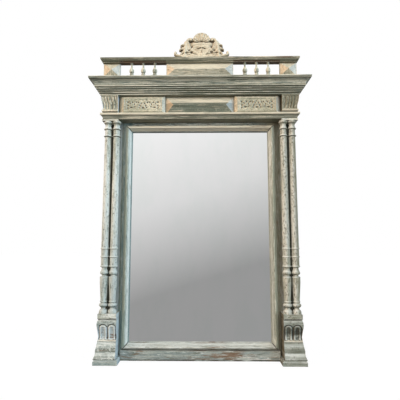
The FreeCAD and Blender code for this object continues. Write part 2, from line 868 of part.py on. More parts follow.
def write_entablature():
    write_pair("abacus", abacus())
    write("architrave", architrave())
    write("frieze_board", frieze_board())
    write("centre_frieze_panel", centre_panel())
    write_pair("carved_frieze_panel", carved_panel())
    write_pair("frieze_corbel", corbel())
    bed_front, bed_side = cornice_piece(bed_edge(), 0, frieze_top, bed_height)
    write("cornice_bed_front", bed_front)
    write_pair("cornice_bed_return", bed_side)
    crown_edge = sized(crown_shares, crown_projection, crown_height)
    crown_front, crown_side = cornice_piece(crown_edge, bed_projection, bed_top, crown_height)
    write("cornice_crown_front", crown_front)
    write_pair("cornice_crown_return", crown_side)
    write("cornice_deck", deck())


def write_gallery():
    write_pair("gallery_end_block", gallery_block(end_block_inner, end_block_outer))
    write("gallery_centre_block", gallery_block(-centre_block_half_width, centre_block_half_width))
    gap = (end_block_inner - centre_block_half_width) / (balusters_a_side + 1)
    for number in range(balusters_a_side):
        shape = baluster(centre_block_half_width + gap * (number + 1))
        write_pair("baluster_" + str(number + 1), shape)
    write("gallery_rail", gallery_rail())
    write("crest", crest())


os.makedirs("parts", exist_ok=True)
write_case()
write_glass_and_back()
write_base()
write_entablature()
write_gallery()
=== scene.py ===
import cmath
import math

import bpy
import numpy as np
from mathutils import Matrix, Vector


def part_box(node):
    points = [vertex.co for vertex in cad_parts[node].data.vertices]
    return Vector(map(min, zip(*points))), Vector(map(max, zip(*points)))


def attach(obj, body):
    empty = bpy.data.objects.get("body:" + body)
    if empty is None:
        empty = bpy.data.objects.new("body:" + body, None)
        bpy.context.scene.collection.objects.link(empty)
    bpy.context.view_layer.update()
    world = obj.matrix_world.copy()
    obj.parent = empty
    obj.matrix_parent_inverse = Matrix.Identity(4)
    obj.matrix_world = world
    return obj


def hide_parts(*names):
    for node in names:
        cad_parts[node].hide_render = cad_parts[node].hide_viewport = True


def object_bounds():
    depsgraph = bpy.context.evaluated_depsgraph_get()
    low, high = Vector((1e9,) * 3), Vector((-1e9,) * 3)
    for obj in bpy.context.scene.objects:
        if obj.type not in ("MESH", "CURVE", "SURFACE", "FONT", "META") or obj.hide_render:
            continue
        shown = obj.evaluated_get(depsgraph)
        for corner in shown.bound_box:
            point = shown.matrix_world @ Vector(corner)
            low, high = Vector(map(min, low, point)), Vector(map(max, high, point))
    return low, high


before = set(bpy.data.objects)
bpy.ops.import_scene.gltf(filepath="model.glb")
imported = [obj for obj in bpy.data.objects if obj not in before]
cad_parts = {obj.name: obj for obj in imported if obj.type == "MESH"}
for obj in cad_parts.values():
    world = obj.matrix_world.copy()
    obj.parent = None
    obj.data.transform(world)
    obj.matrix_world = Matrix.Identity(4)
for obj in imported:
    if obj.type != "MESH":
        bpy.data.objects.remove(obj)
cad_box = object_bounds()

# Looks of a carved and painted wooden overmantel mirror. Everything is in metres, in the
# frame of the CAD model: +X to the right, the front faces -Y, +Z up, origin on the floor.
# "Proud" is a distance forward from the wall plane at the back.

MM = 0.001
WALL_Y = cad_box[1][1]

# Camera, fitted to the corners of the mirror's parts in the photograph.
CAMERA_PLACE = (0.02305, -1.7412, 0.63765)
CAMERA_PITCH = 5.81
CAMERA_YAW = 0.77
CAMERA_LENS = 30.06
CAMERA_SENSOR = 36.0
CAMERA_SHIFT = (0.0008, 0.0036)

# Lamps: name, the direction the light comes from, strength, colour and spread in degrees.
LAMPS = [
    ("lamp_left", (-0.88, -0.45, 0.14), 0.62, (1.0, 0.76, 0.56), 40),
    ("lamp_right", (0.88, -0.46, 0.12), 0.70, (0.62, 0.85, 1.0), 40),
    ("lamp_front", (0.05, -0.94, 0.32), 0.34, (1.0, 0.97, 0.90), 50),
]

# Planes in front of the wall, as in the CAD model.
CASE_FACE = 28 * MM
FRIEZE_FACE = 58 * MM
FOOT_FRONT = 110 * MM
CORBEL_FRONT = 104 * MM


def linear(red, green, blue):
    """A screen colour from 0 to 255 as the linear colour that materials take."""
    shares = []
    for value in (red, green, blue):
        share = value / 255
        shares.append(share / 12.92 if share <= 0.04045 else ((share + 0.055) / 1.055) ** 2.4)
    return (*shares, 1.0)


def box_across(node):
    """Inner and outer distance from the middle plane, and bottom and top, of a node on one side."""
    low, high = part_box(node)
    inner, outer = sorted((abs(low[0]), abs(high[0])))
    return inner, outer, low[2], high[2]


class Shader:
    """Adds nodes to a material or world and joins them. The colour is laid up coat by coat."""

    def __init__(self, holder):
        holder.use_nodes = True
        self.holder = holder
        self.tree = holder.node_tree
        self.tree.nodes.clear()
        self.color = None

    def add(self, kind, inputs=(), **settings):
        """A node with settings, and with values or other nodes' outputs in its inputs."""
        node = self.tree.nodes.new(kind)
        for name, value in settings.items():
            setattr(node, name, value)
        for key, value in dict(inputs).items():
            if isinstance(value, bpy.types.NodeSocket):
                self.tree.links.new(value, node.inputs[key])
            else:
                node.inputs[key].default_value = value
        return node

    def sum(self, operation, *values):
        return self.add("ShaderNodeMath", enumerate(values), operation=operation).outputs[0]

    def times(self, product, *others):
        for value in others:
            product = self.sum("MULTIPLY", product, value)
        return product

    def plus(self, first, second):
        return self.sum("ADD", first, second)

    def minus(self, first, second):
        return self.sum("SUBTRACT", first, second)

    def size(self, value):
        return self.sum("ABSOLUTE", value)

    def blend(self, first, first_share, second, second_share):
        """Two patterns added in shares."""
        return self.plus(self.times(first, first_share), self.times(second, second_share))

    def sway(self, pattern, reach):
        """A pattern's swing to both sides of its middle."""
        return self.times(self.minus(pattern, 0.5), reach)

    def ramp(self, value, low, high, out_low=0.0, out_high=1.0, kind="SMOOTHSTEP"):
        inputs = {"Value": value, "From Min": low, "From Max": high, "To Min": out_low, "To Max": out_high}
        return self.add("ShaderNodeMapRange", inputs, interpolation_type=kind).outputs[0]

    def band(self, value, start, end, blur):
        """One between two values, with soft edges."""
        return self.times(self.ramp(value, start - blur, start + blur),
                          self.ramp(value, end + blur, end - blur))

    def mix(self, share, first, second):
        return self.add("ShaderNodeMix", {0: share, 6: first, 7: second}, data_type="RGBA").outputs[2]

    def coat(self, tone, amount):
        """Lays a tone over the colour so far."""
        self.color = self.mix(amount, self.color, tone)

    def cover(self, tone, value, low, high, share=1.0, where=None):
        """Lays a share of a tone over the colour as a value goes from low to high."""
        amount = self.ramp(value, low, high, 0.0, share)
        self.coat(tone, amount if where is None else self.times(amount, where))

    def split(self, vector):
        return self.add("ShaderNodeSeparateXYZ", {0: vector}).outputs

    def places(self, scale=(1, 1, 1), shift=(0, 0, 0)):
        """Object coordinates, which are metres in the model's own frame, stretched."""
        place = self.add("ShaderNodeTexCoord").outputs["Object"]
        return self.add("ShaderNodeMapping", {"Vector": place, "Scale": scale, "Location": shift}).outputs[0]

    def spot(self):
        """How far a place is across, back and up."""
        return self.split(self.places())

    def left(self):
        """One on the left half of the mirror."""
        return self.sum("LESS_THAN", self.spot()[0], 0.0)

    def normal(self):
        return self.add("ShaderNodeNewGeometry").outputs["Normal"]

    def facing(self):
        """How far a surface faces right, back and up."""
        return self.split(self.normal())

    def noise(self, vector, scale, detail=4.0, roughness=0.55, distortion=0.0):
        inputs = {"Vector": vector, "Scale": scale, "Detail": detail, "Roughness": roughness,
                  "Distortion": distortion}
        return self.add("ShaderNodeTexNoise", inputs).outputs[0]

    def shelter(self, distance):
        """Ambient occlusion: one in the open, falling in hollows."""
        return self.add("ShaderNodeAmbientOcclusion", {"Distance": distance}, samples=8).outputs["AO"]

    def bump(self, height, strength, distance):
        inputs = {"Height": height, "Strength": strength, "Distance": distance}
        return self.add("ShaderNodeBump", inputs).outputs[0]

    def finish(self, roughness, metallic=0.0, specular=0.5, **others):
        """The material, with its colour so far and with any other inputs of its surface by name."""
        inputs = {"Base Color": self.color, "Roughness": roughness, "Metallic": metallic,
                  "Specular IOR Level": specular, **others}
        return self.output("ShaderNodeOutputMaterial", self.add("ShaderNodeBsdfPrincipled", inputs))

    def output(self, kind, surface):
        self.add(kind, {"Surface": surface.outputs[0]})
        return self.holder


def new_paint(name):
    return Shader(bpy.data.materials.new(name))


def new_thing(name, data):
    """An object in the scene."""
    thing = bpy.data.objects.new(name, data)
    bpy.context.scene.collection.objects.link(thing)
    return thing


# Stretch of the brushed pattern along a piece's grain, and of its broad patches.
GRAIN = {"x": (0.11, 1, 1), "long": (0.05, 1.2, 1.2), "z": (1, 1, 0.10), "any": (0.45, 1, 0.7)}
PATCHES = {"x": (0.25, 1, 1), "long": (0.14, 1, 1), "z": (1, 1, 0.2), "any": (0.8, 1, 0.8)}

# Tones of painted light and shade by side: olive and warm brown for shade on the right, cool blue-green for
# light on the left.
OLIVE_SHADE_TONE = linear(118, 112, 90)
COOL_LIGHT_TONE = linear(92, 122, 128)
WARM_SHADE_TONE = linear(160, 138, 102)
CREAM = linear(236, 224, 200)
CHALK = linear(232, 234, 228)
WHITE = linear(255, 255, 255)
IVORY = linear(232, 226, 206)
LICHEN_LIGHT = linear(206, 212, 192)
# Painted cool light.
ICE_BLUE_LIGHT = linear(206, 218, 226)
# Painted warm light.
PEACH_LIGHT = linear(244, 206, 168)
BUFF = linear(216, 210, 192)
TERRACOTTA = linear(180, 142, 112)
BROWN = linear(118, 88, 62)
# Painted warm shade.
UMBER_SHADE = linear(94, 80, 56)
SHADE = linear(92, 94, 78)
SLATE = linear(78, 82, 78)
SOOT = linear(72, 72, 62)
# Dark tones for dirt, also used for painted shade in hollows, corners and shadow lines.
DIRT_AND_SHADE_TONE = linear(48, 46, 36)
OLIVE_DIRT_AND_SHADE = linear(60, 58, 44)
BROWN_DIRT_AND_SHADE = linear(70, 54, 38)
PALE_WOOD = linear(164, 130, 92)
DARK_WOOD = linear(120, 88, 58)
WOOD_STAIN = linear(96, 74, 54)
WOOD_DIRT = linear(48, 36, 26)
SILVER = linear(250, 250, 250)
HAZY_SILVER = linear(246, 248, 247)

EDGE_RADIUS = 2.2 * MM
# How far the darkening for dirt and painted shade reaches in grooves and in corners.
GROOVE_REACH = 4 * MM
CORNER_REACH = 22 * MM
PAINT_RELIEF = 0.8 * MM

# Where painted cool light turns the paint blue-green towards the left and painted shade turns it olive
# or brown towards the right, and where the dark specks grow more.
COOL_SIDE = (-0.10, -0.44)
WARM_SIDE = (0.15, 0.50)
SPECKED_SIDE = (0.2, 0.5)


def brushed(paint, grain, main, deep, pale, pale_share, seed):
    """Two tones of paint with thin dark lines and dry-brushed pale streaks along the grain.
    Returns the streaks' pattern and the place along the grain."""
    along = paint.places(GRAIN[grain], (seed, seed * 0.7, seed * 1.3))
    patches = paint.noise(paint.places(PATCHES[grain], (seed * 2.0, seed, seed * 0.5)), 11.0)
    paint.color = deep
    paint.cover(main, paint.blend(paint.noise(along, 80.0, 6.0, 0.7), 0.65, patches, 0.35), 0.44, 0.56)
    paint.cover(SHADE, paint.noise(along, 200.0, 5.0, 0.75, 0.3), 0.48, 0.37, 0.8)
    streak = paint.plus(paint.noise(along, 150.0, 6.0, 0.75, 0.3), paint.sway(patches, 0.45))
    low = 0.63 - 0.30 * pale_share
    paint.cover(pale, streak, low, low + 0.07, 0.9)
    return streak, along


def edge_mask(paint):
    """One on sharp edges, where the bevelled normal turns away from the true one."""
    bevel = paint.add("ShaderNodeBevel", {"Radius": EDGE_RADIUS}, samples=4).outputs[0]
    turn = paint.add("ShaderNodeVectorMath", {0: bevel, 1: paint.normal()}, operation="DOT_PRODUCT")
    return paint.ramp(turn.outputs["Value"], 0.995, 0.90)


def speckle(paint, pale, share, seed):
    """Crackled paint: small dark and pale specks, with more dark ones on the right."""
    specks = paint.noise(paint.places((1, 1, 0.6), (seed, seed * 0.3, seed)), 130.0, 5.0, 0.75)
    specks = paint.plus(specks, paint.ramp(paint.spot()[0], *SPECKED_SIDE, 0.0, 0.035))
    paint.cover(SOOT, specks, 0.56, 0.64, share)
    paint.cover(pale, specks, 0.43, 0.34, share)


def light_by_slope(paint, pale, rubbed, dirty):
    """Slopes that face up are painted paler as highlight and slopes that face down are painted darker as
    shade.
    """
    rise = paint.facing()[2]
    paint.cover(pale, rise, 0.10, 0.45, rubbed)
    paint.cover(SHADE, rise, -0.15, -0.60, dirty)


def light_by_side(paint, hips, flanks):
    """Slopes that lean left are painted peach as warm light and those that lean right pale blue as cool
    light, and the flanks towards the glass are painted pale blue as light on the left and brown as shade on
    the right."""
    lean = paint.facing()[0]
    left = paint.left()
    paint.cover(PEACH_LIGHT, lean, -0.15, -0.40, hips)
    paint.cover(ICE_BLUE_LIGHT, lean, 0.15, 0.40, hips)
    paint.cover(ICE_BLUE_LIGHT, lean, 0.6, 0.9, flanks, left)
    paint.cover(UMBER_SHADE, lean, -0.6, -0.9, flanks, paint.minus(1.0, left))


def painted(name, grain, main, deep, pale, pale_share, wear=0.25, dirt_and_shade_share=0.8, seed=0.0, edge=None,
            side_light_and_shade=(0.0, 0.0), right_shade_tone=OLIVE_SHADE_TONE, trim=None, slope=0.45, sag=0.45, specks=0.3, dirt=DIRT_AND_SHADE_TONE,
            hips=0.0, flanks=0.0):
    """Old limewashed paint on wood: brushed tones, worn edges, rubbed patches and dirty hollows, with painted
    light and shade by side, by slope and in hollows. The main and the deep tone are screen colours."""
    paint = new_paint(name)
    streak, along = brushed(paint, grain, linear(*main), linear(*deep), pale, pale_share, seed)
    speckle(paint, pale, specks, seed)
    across = paint.spot()[0]
    # Painted cool light towards the left and painted shade towards the right.
    paint.cover(COOL_LIGHT_TONE, across, *COOL_SIDE, side_light_and_shade[0])
    paint.cover(right_shade_tone, across, *WARM_SIDE, side_light_and_shade[1])
    # Painted highlight on slopes that face up and painted shade on slopes that face down.
    light_by_slope(paint, pale, slope, sag)
    if trim:
        trim(paint)
    # Painted warm and cool light on slopes by their side, and painted light and shade on the flanks.
    light_by_side(paint, hips, flanks)

    edges = edge_mask(paint)
    paint.coat(edge or pale, paint.times(edges, 0.6))
    # Raised carving is painted pale, as rubbed paint and as highlight, and its hollows dark.
    carved = paint.add("ShaderNodeAttribute", attribute_name="relief").outputs["Fac"]
    paint.cover(pale, carved, 0.1, 0.9, 0.55)
    rubbed = paint.noise(paint.places(GRAIN[grain], (seed + 3.1, 1.7, seed)), 80.0, 6.0, 0.7)
    patch = paint.noise(paint.places((1, 1, 1), (seed, seed * 1.9, 4.0)), 6.0, 3.0)
    rubbed = paint.plus(paint.blend(rubbed, 0.7, patch, 0.4), paint.times(edges, 0.06))
    paint.cover(BROWN, rubbed, 0.71 - 0.16 * wear, 0.76 - 0.16 * wear, 0.75)

    # Dirt and painted shade in the carving's hollows and in grooves and corners, and bare wood on the back.
    paint.cover(dirt, carved, -0.1, -1.0, dirt_and_shade_share)
    wood = paint.mix(paint.ramp(streak, 0.35, 0.65), DARK_WOOD, PALE_WOOD)
    paint.cover(wood, paint.facing()[1], 0.5, 0.8)
    paint.cover(dirt, paint.shelter(GROOVE_REACH), 0.80, 0.25, dirt_and_shade_share)
    paint.cover(dirt, paint.shelter(CORNER_REACH), 0.6, 0.1, dirt_and_shade_share * 0.35)
    relief = paint.blend(paint.noise(along, 520.0, 3.0, 0.6), 0.35, streak, 0.65)
    return paint.finish(paint.ramp(streak, 0.3, 0.7, 0.66, 0.50), specular=0.3,
                        Normal=paint.bump(relief, 0.5, PAINT_RELIEF))


# The inner slope of the moulding round the glass is nearly white, out to this distance, except on
# the right. Above and below the glass the white reaches further.
PALE_BAND = 8 * MM
PALE_BAND_LEVEL = 21 * MM
PALE_BAND_BLUR = 2 * MM
PALE_BAND_END = (0.34, 0.40)
SIGHT_EDGE = 5 * MM
MITRE_LINE = 4.4 * MM
LINE_BLUR = 1.5 * MM


def moulding_trim(level):
    """The pale inner side of the moulding round the glass, streaks of painted light beyond it on the
    upright sides, and dirt in its mitres.
    """
    side_edge = -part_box("left_glass_moulding")[1][0]
    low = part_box("bottom_glass_moulding")[1][2]
    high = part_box("top_glass_moulding")[0][2]
    reach = PALE_BAND_LEVEL if level else PALE_BAND

    def trim(paint):
        across, _, up = paint.spot()
        out_x = paint.minus(paint.size(across), side_edge)
        out_z = paint.minus(paint.size(paint.minus(up, (low + high) / 2)), (high - low) / 2)
        out = out_z if level else out_x
        strands = paint.noise(paint.places(GRAIN["x" if level else "z"]), 120.0, 5.0, 0.7)
        ragged = paint.plus(out, paint.sway(strands, reach))
        share = paint.times(paint.ramp(ragged, reach + PALE_BAND_BLUR, reach - PALE_BAND_BLUR),
                            paint.ramp(strands, 0.58, 0.46, 0.20, 0.90))
        share = paint.sum("MAXIMUM", share, paint.ramp(out, SIGHT_EDGE, SIGHT_EDGE / 2))
        share = paint.times(share, paint.ramp(across, *PALE_BAND_END, 1.0, 0.25),
                            paint.ramp(up, low, high, 0.75, 1.0))
        if level:
            paint.cover(IVORY, up, high - reach, high, 0.95)
            tone = paint.mix(paint.ramp(up, low, high), CHALK, CREAM)
        else:
            # On the upright sides, streaks of painted light beyond the white band.
            lit_streaks = paint.ramp(strands, 0.60, 0.42, 0.25, 0.75)
            paint.cover(LICHEN_LIGHT, out_x, reach, 2 * reach, where=lit_streaks)
            tone = CHALK
        paint.coat(tone, share)
        gap = paint.size(paint.minus(out_x, out_z))
        paint.cover(DIRT_AND_SHADE_TONE, gap, MITRE_LINE, MITRE_LINE / 2, 0.95)
    return trim


# Behind the paired columns the stiles are painted dark as shade, from this distance out to their edge.
STILE_SHADE = 84 * MM
STILE_SHADE_BLUR = 10 * MM
STILE_LINE = (50 * MM, 57 * MM)
STILE_LIT_STRIP = (59 * MM, 74 * MM)
BROWN_SHADE_STRIP = (38 * MM, 64 * MM)
STRIP_SWAY = 6 * MM


def stile_trim(paint):
    """Painted shade on the stiles behind the columns. Beside it a dark line and a strip of painted cool light
    on the left, and a strip of painted brown shade on the right."""
    ragged = paint.times(paint.noise(paint.places(GRAIN["z"]), 90.0), STRIP_SWAY)
    out = paint.plus(paint.minus(paint.size(paint.spot()[0]), box_across("right_stile")[0]), ragged)
    left = paint.left()
    for (start, end), side, tone, share in ((STILE_LINE, left, SHADE, 0.4), (STILE_LIT_STRIP, left, ICE_BLUE_LIGHT, 0.5),
                                            (BROWN_SHADE_STRIP, paint.minus(1.0, left), UMBER_SHADE, 0.5)):
        paint.coat(tone, paint.times(paint.band(out, start, end, LINE_BLUR), share, side))
    front = paint.ramp(paint.facing()[1], -0.4, -0.8)
    paint.cover(DIRT_AND_SHADE_TONE, out, STILE_SHADE - STILE_SHADE_BLUR, STILE_SHADE, 0.95, front)


# The lower ends of the left colonettes are painted blue-grey as cool light, up to these heights.
BLUE_FOOT = (0.35, 0.95)


def turned_trim(paint):
    """Painted cool light low on the left colonettes, and painted olive shade on the outer sides of the right
    ones.
    """
    across, _, up = paint.spot()
    paint.cover(COOL_LIGHT_TONE, up, BLUE_FOOT[1], BLUE_FOOT[0], 0.30, paint.left())
    inner, outer, _, _ = box_across("right_abacus")
    right = paint.times(paint.ramp(across, inner, (inner + outer) / 2, 0.35, 1.0),
                        paint.sum("GREATER_THAN", across, inner))
    paint.cover(OLIVE_SHADE_TONE, paint.facing()[0], -0.4, 0.5, 0.8, right)


# Lines of paint along a piece: their lower and upper edge in millimetres above its foot or, where
# the upper edge isn't above zero, from its top, their colour and how much it covers.
ARCHITRAVE_LINES = [(-11, 0, CREAM, 0.75), (0, 7, SHADE, 0.6), (-17, -12, SHADE, 0.3)]
RAIL_LINES = [(-13, -3, SHADE, 0.25), (0, 5, SHADE, 0.5)]
CROWN_LINES = [(-15, -4, SHADE, 0.6), (0, 5, SHADE, 0.35)]
# The centre panel's cream upper band is painted highlight and its dark lower bands painted shade.
HIPPED_LIGHT_AND_SHADE = [(-36, 0, CREAM, 0.85), (30, 61, SHADE, 0.55), (8, 30, SHADE, 0.25)]
# The dark line at the foot of the console blocks is a painted shadow.
BLOCK_SHADOW_LINES = [(0, 7, DIRT_AND_SHADE_TONE, 0.85)]
CONSOLE_LINES = [
    (0, 4, DIRT_AND_SHADE_TONE, 0.7), (-4, 0, SHADE, 0.5), (82, 85, DIRT_AND_SHADE_TONE, 0.5),
    (85, 93, CREAM, 0.6), (20, 32, CHALK, 0.65), (36, 56, SHADE, 0.55),
    (4, 16, SHADE, 0.4), (62, 76, CHALK, 0.35),
]
LINE_SWAY = 4 * MM


def lines_trim(node, lines):
    """Pale and dark lines of paint that run level round a piece, a little uneven; some are painted light and
    shade.
    """
    low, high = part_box(node)

    def trim(paint):
        uneven = paint.noise(paint.places((0.3, 0.3, 1), (2.0, 1.0, 0.0)), 30.0)
        up = paint.plus(paint.spot()[2], paint.sway(uneven, LINE_SWAY))
        worn = paint.ramp(paint.noise(paint.places((0.2, 1, 1)), 60.0), 0.30, 0.55, 0.4, 1.0)
        for start, end, tone, share in lines:
            edge = low[2] if end > 0 else high[2]
            stripe = paint.band(up, edge + start * MM, edge + end * MM, LINE_BLUR)
            paint.coat(tone, paint.times(stripe, worn, share))
    return trim


# Heights over the consoles' foot of the scraped slope under the hoods and of the hoods' tops, and
# where across the mirror the painted shade over the hoods grows.
SWIRL_TOP = 80 * MM
SHADE_PATCH_TOP = 168 * MM
SHADED_SIDE = (-0.1, 0.1)


def console_trim(paint):
    """The consoles' lines, on the left white swirls where the paint was scraped and hoods painted pale blue
    as cool light, and on the right mottled painted shade over the hoods."""
    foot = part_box("left_console")[0][2]
    across, _, up = paint.spot()
    left = paint.left()
    lines_trim("left_console", CONSOLE_LINES)(paint)
    swirls = paint.noise(paint.places(), 42.0, 3.0, 0.6, 2.5)
    below = paint.ramp(up, foot + SWIRL_TOP, foot + SWIRL_TOP - 2 * LINE_BLUR)
    paint.cover(CHALK, swirls, 0.53, 0.60, 0.55, paint.times(below, left))
    blur = CORNER_REACH / 2
    hoods = paint.band(up, foot + SWIRL_TOP + blur, foot + SHADE_PATCH_TOP - blur, blur)
    paint.coat(ICE_BLUE_LIGHT, paint.times(hoods, left, 0.45))
    hoods = paint.times(hoods, paint.ramp(across, *SHADED_SIDE, 0.35, 1.0))
    shade_patches = paint.noise(paint.places((1, 1, 0.6)), 34.0, 4.0, 0.7, 0.6)
    paint.cover(SLATE, shade_patches, 0.44, 0.58, 0.8, hoods)


# Paint worn to brown wood along the middle of the boards at the foot.
WORN_PLACE = 100 * MM
WORN_REACH = (60 * MM, 230 * MM)
FOOT_EDGE = 5 * MM


def worn_trim(paint):
    """Brown wood along the middle of the bottom boards, and a ragged dirty edge at their foot."""
    across, _, up = paint.spot()
    ragged = paint.noise(paint.places(GRAIN["x"]), 110.0, 5.0, 0.7)
    near = paint.ramp(paint.size(paint.minus(across, WORN_PLACE)), WORN_REACH[1], WORN_REACH[0])
    below = paint.sum("LESS_THAN", up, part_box("mirror_glass")[0][2] + CORNER_REACH)
    paint.cover(BROWN, ragged, 0.46, 0.56, 0.85, paint.times(near, below))
    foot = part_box("base_board")[0][2]
    dirt = paint.ramp(ragged, 0.42, 0.50, 0.2, 0.85)
    paint.cover(DIRT_AND_SHADE_TONE, up, foot + 2 * FOOT_EDGE, foot + FOOT_EDGE, where=dirt)


# Height of the painted brown shade along the rail's foot, between the blocks over the balusters.
SOFFIT_EDGE = 7 * MM
SOFFIT_SHADE_BROWN = linear(74, 56, 44)


def rail_trim(paint):
    """The rail's lines, and painted brown shade on its lowest edge over the balusters."""
    lines_trim("gallery_rail", RAIL_LINES)(paint)
    across, _, up = paint.spot()
    across = paint.size(across)
    between = paint.times(paint.sum("GREATER_THAN", across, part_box("gallery_centre_block")[1][0]),
                          paint.sum("LESS_THAN", across, box_across("right_gallery_end_block")[0]))
    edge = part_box("gallery_rail")[0][2] + SOFFIT_EDGE
    paint.cover(SOFFIT_SHADE_BROWN, up, edge + LINE_BLUR, edge - LINE_BLUR, 0.85, between)


def bare_wood():
    """Old unpainted softwood on the back, with grain, broad stains and age."""
    paint = new_paint("bare_wood_aged")
    along = paint.places((1, 1, 0.04), (4.0, 2.0, 1.0))
    rings = paint.noise(along, 70.0, 5.0, 0.6, 0.8)
    paint.color = DARK_WOOD
    paint.cover(PALE_WOOD, rings, 0.35, 0.65)
    paint.cover(WOOD_STAIN, paint.noise(paint.places((1, 1, 0.3)), 6.0, 3.0), 0.4, 0.7, 0.5)
    paint.cover(WOOD_DIRT, paint.shelter(10 * MM), 0.8, 0.3, 0.7)
    return paint.finish(paint.ramp(rings, 0.3, 0.7, 0.78, 0.62), specular=0.3,
                        Normal=paint.bump(paint.noise(along, 260.0, 3.0), 0.5, 0.6 * MM))


def old_metal(name, tone, rust, rust_share):
    """Steel or iron with spots of rust."""
    paint = new_paint(name)
    spots = paint.noise(paint.places(), 160.0, 5.0, 0.6)
    rusty = paint.ramp(spots, 0.62 - 0.3 * rust_share, 0.72 - 0.3 * rust_share)
    paint.color = paint.mix(rusty, tone, rust)
    return paint.finish(paint.ramp(rusty, 0.0, 1.0, 0.38, 0.8), paint.ramp(rusty, 0.0, 1.0, 1.0, 0.2),
                        Normal=paint.bump(spots, 0.3, 0.4 * MM))


def silvered_glass():
    """The mirror: bright silvering with faint wiping marks in its gloss."""
    paint = new_paint("silvered_glass")
    haze = paint.noise(paint.places((1, 1, 0.5)), 9.0)
    paint.color = SILVER
    paint.cover(HAZY_SILVER, haze, 0.35, 0.7)
    return paint.finish(paint.ramp(haze, 0.4, 0.8, 0.012, 0.03), metallic=1.0)


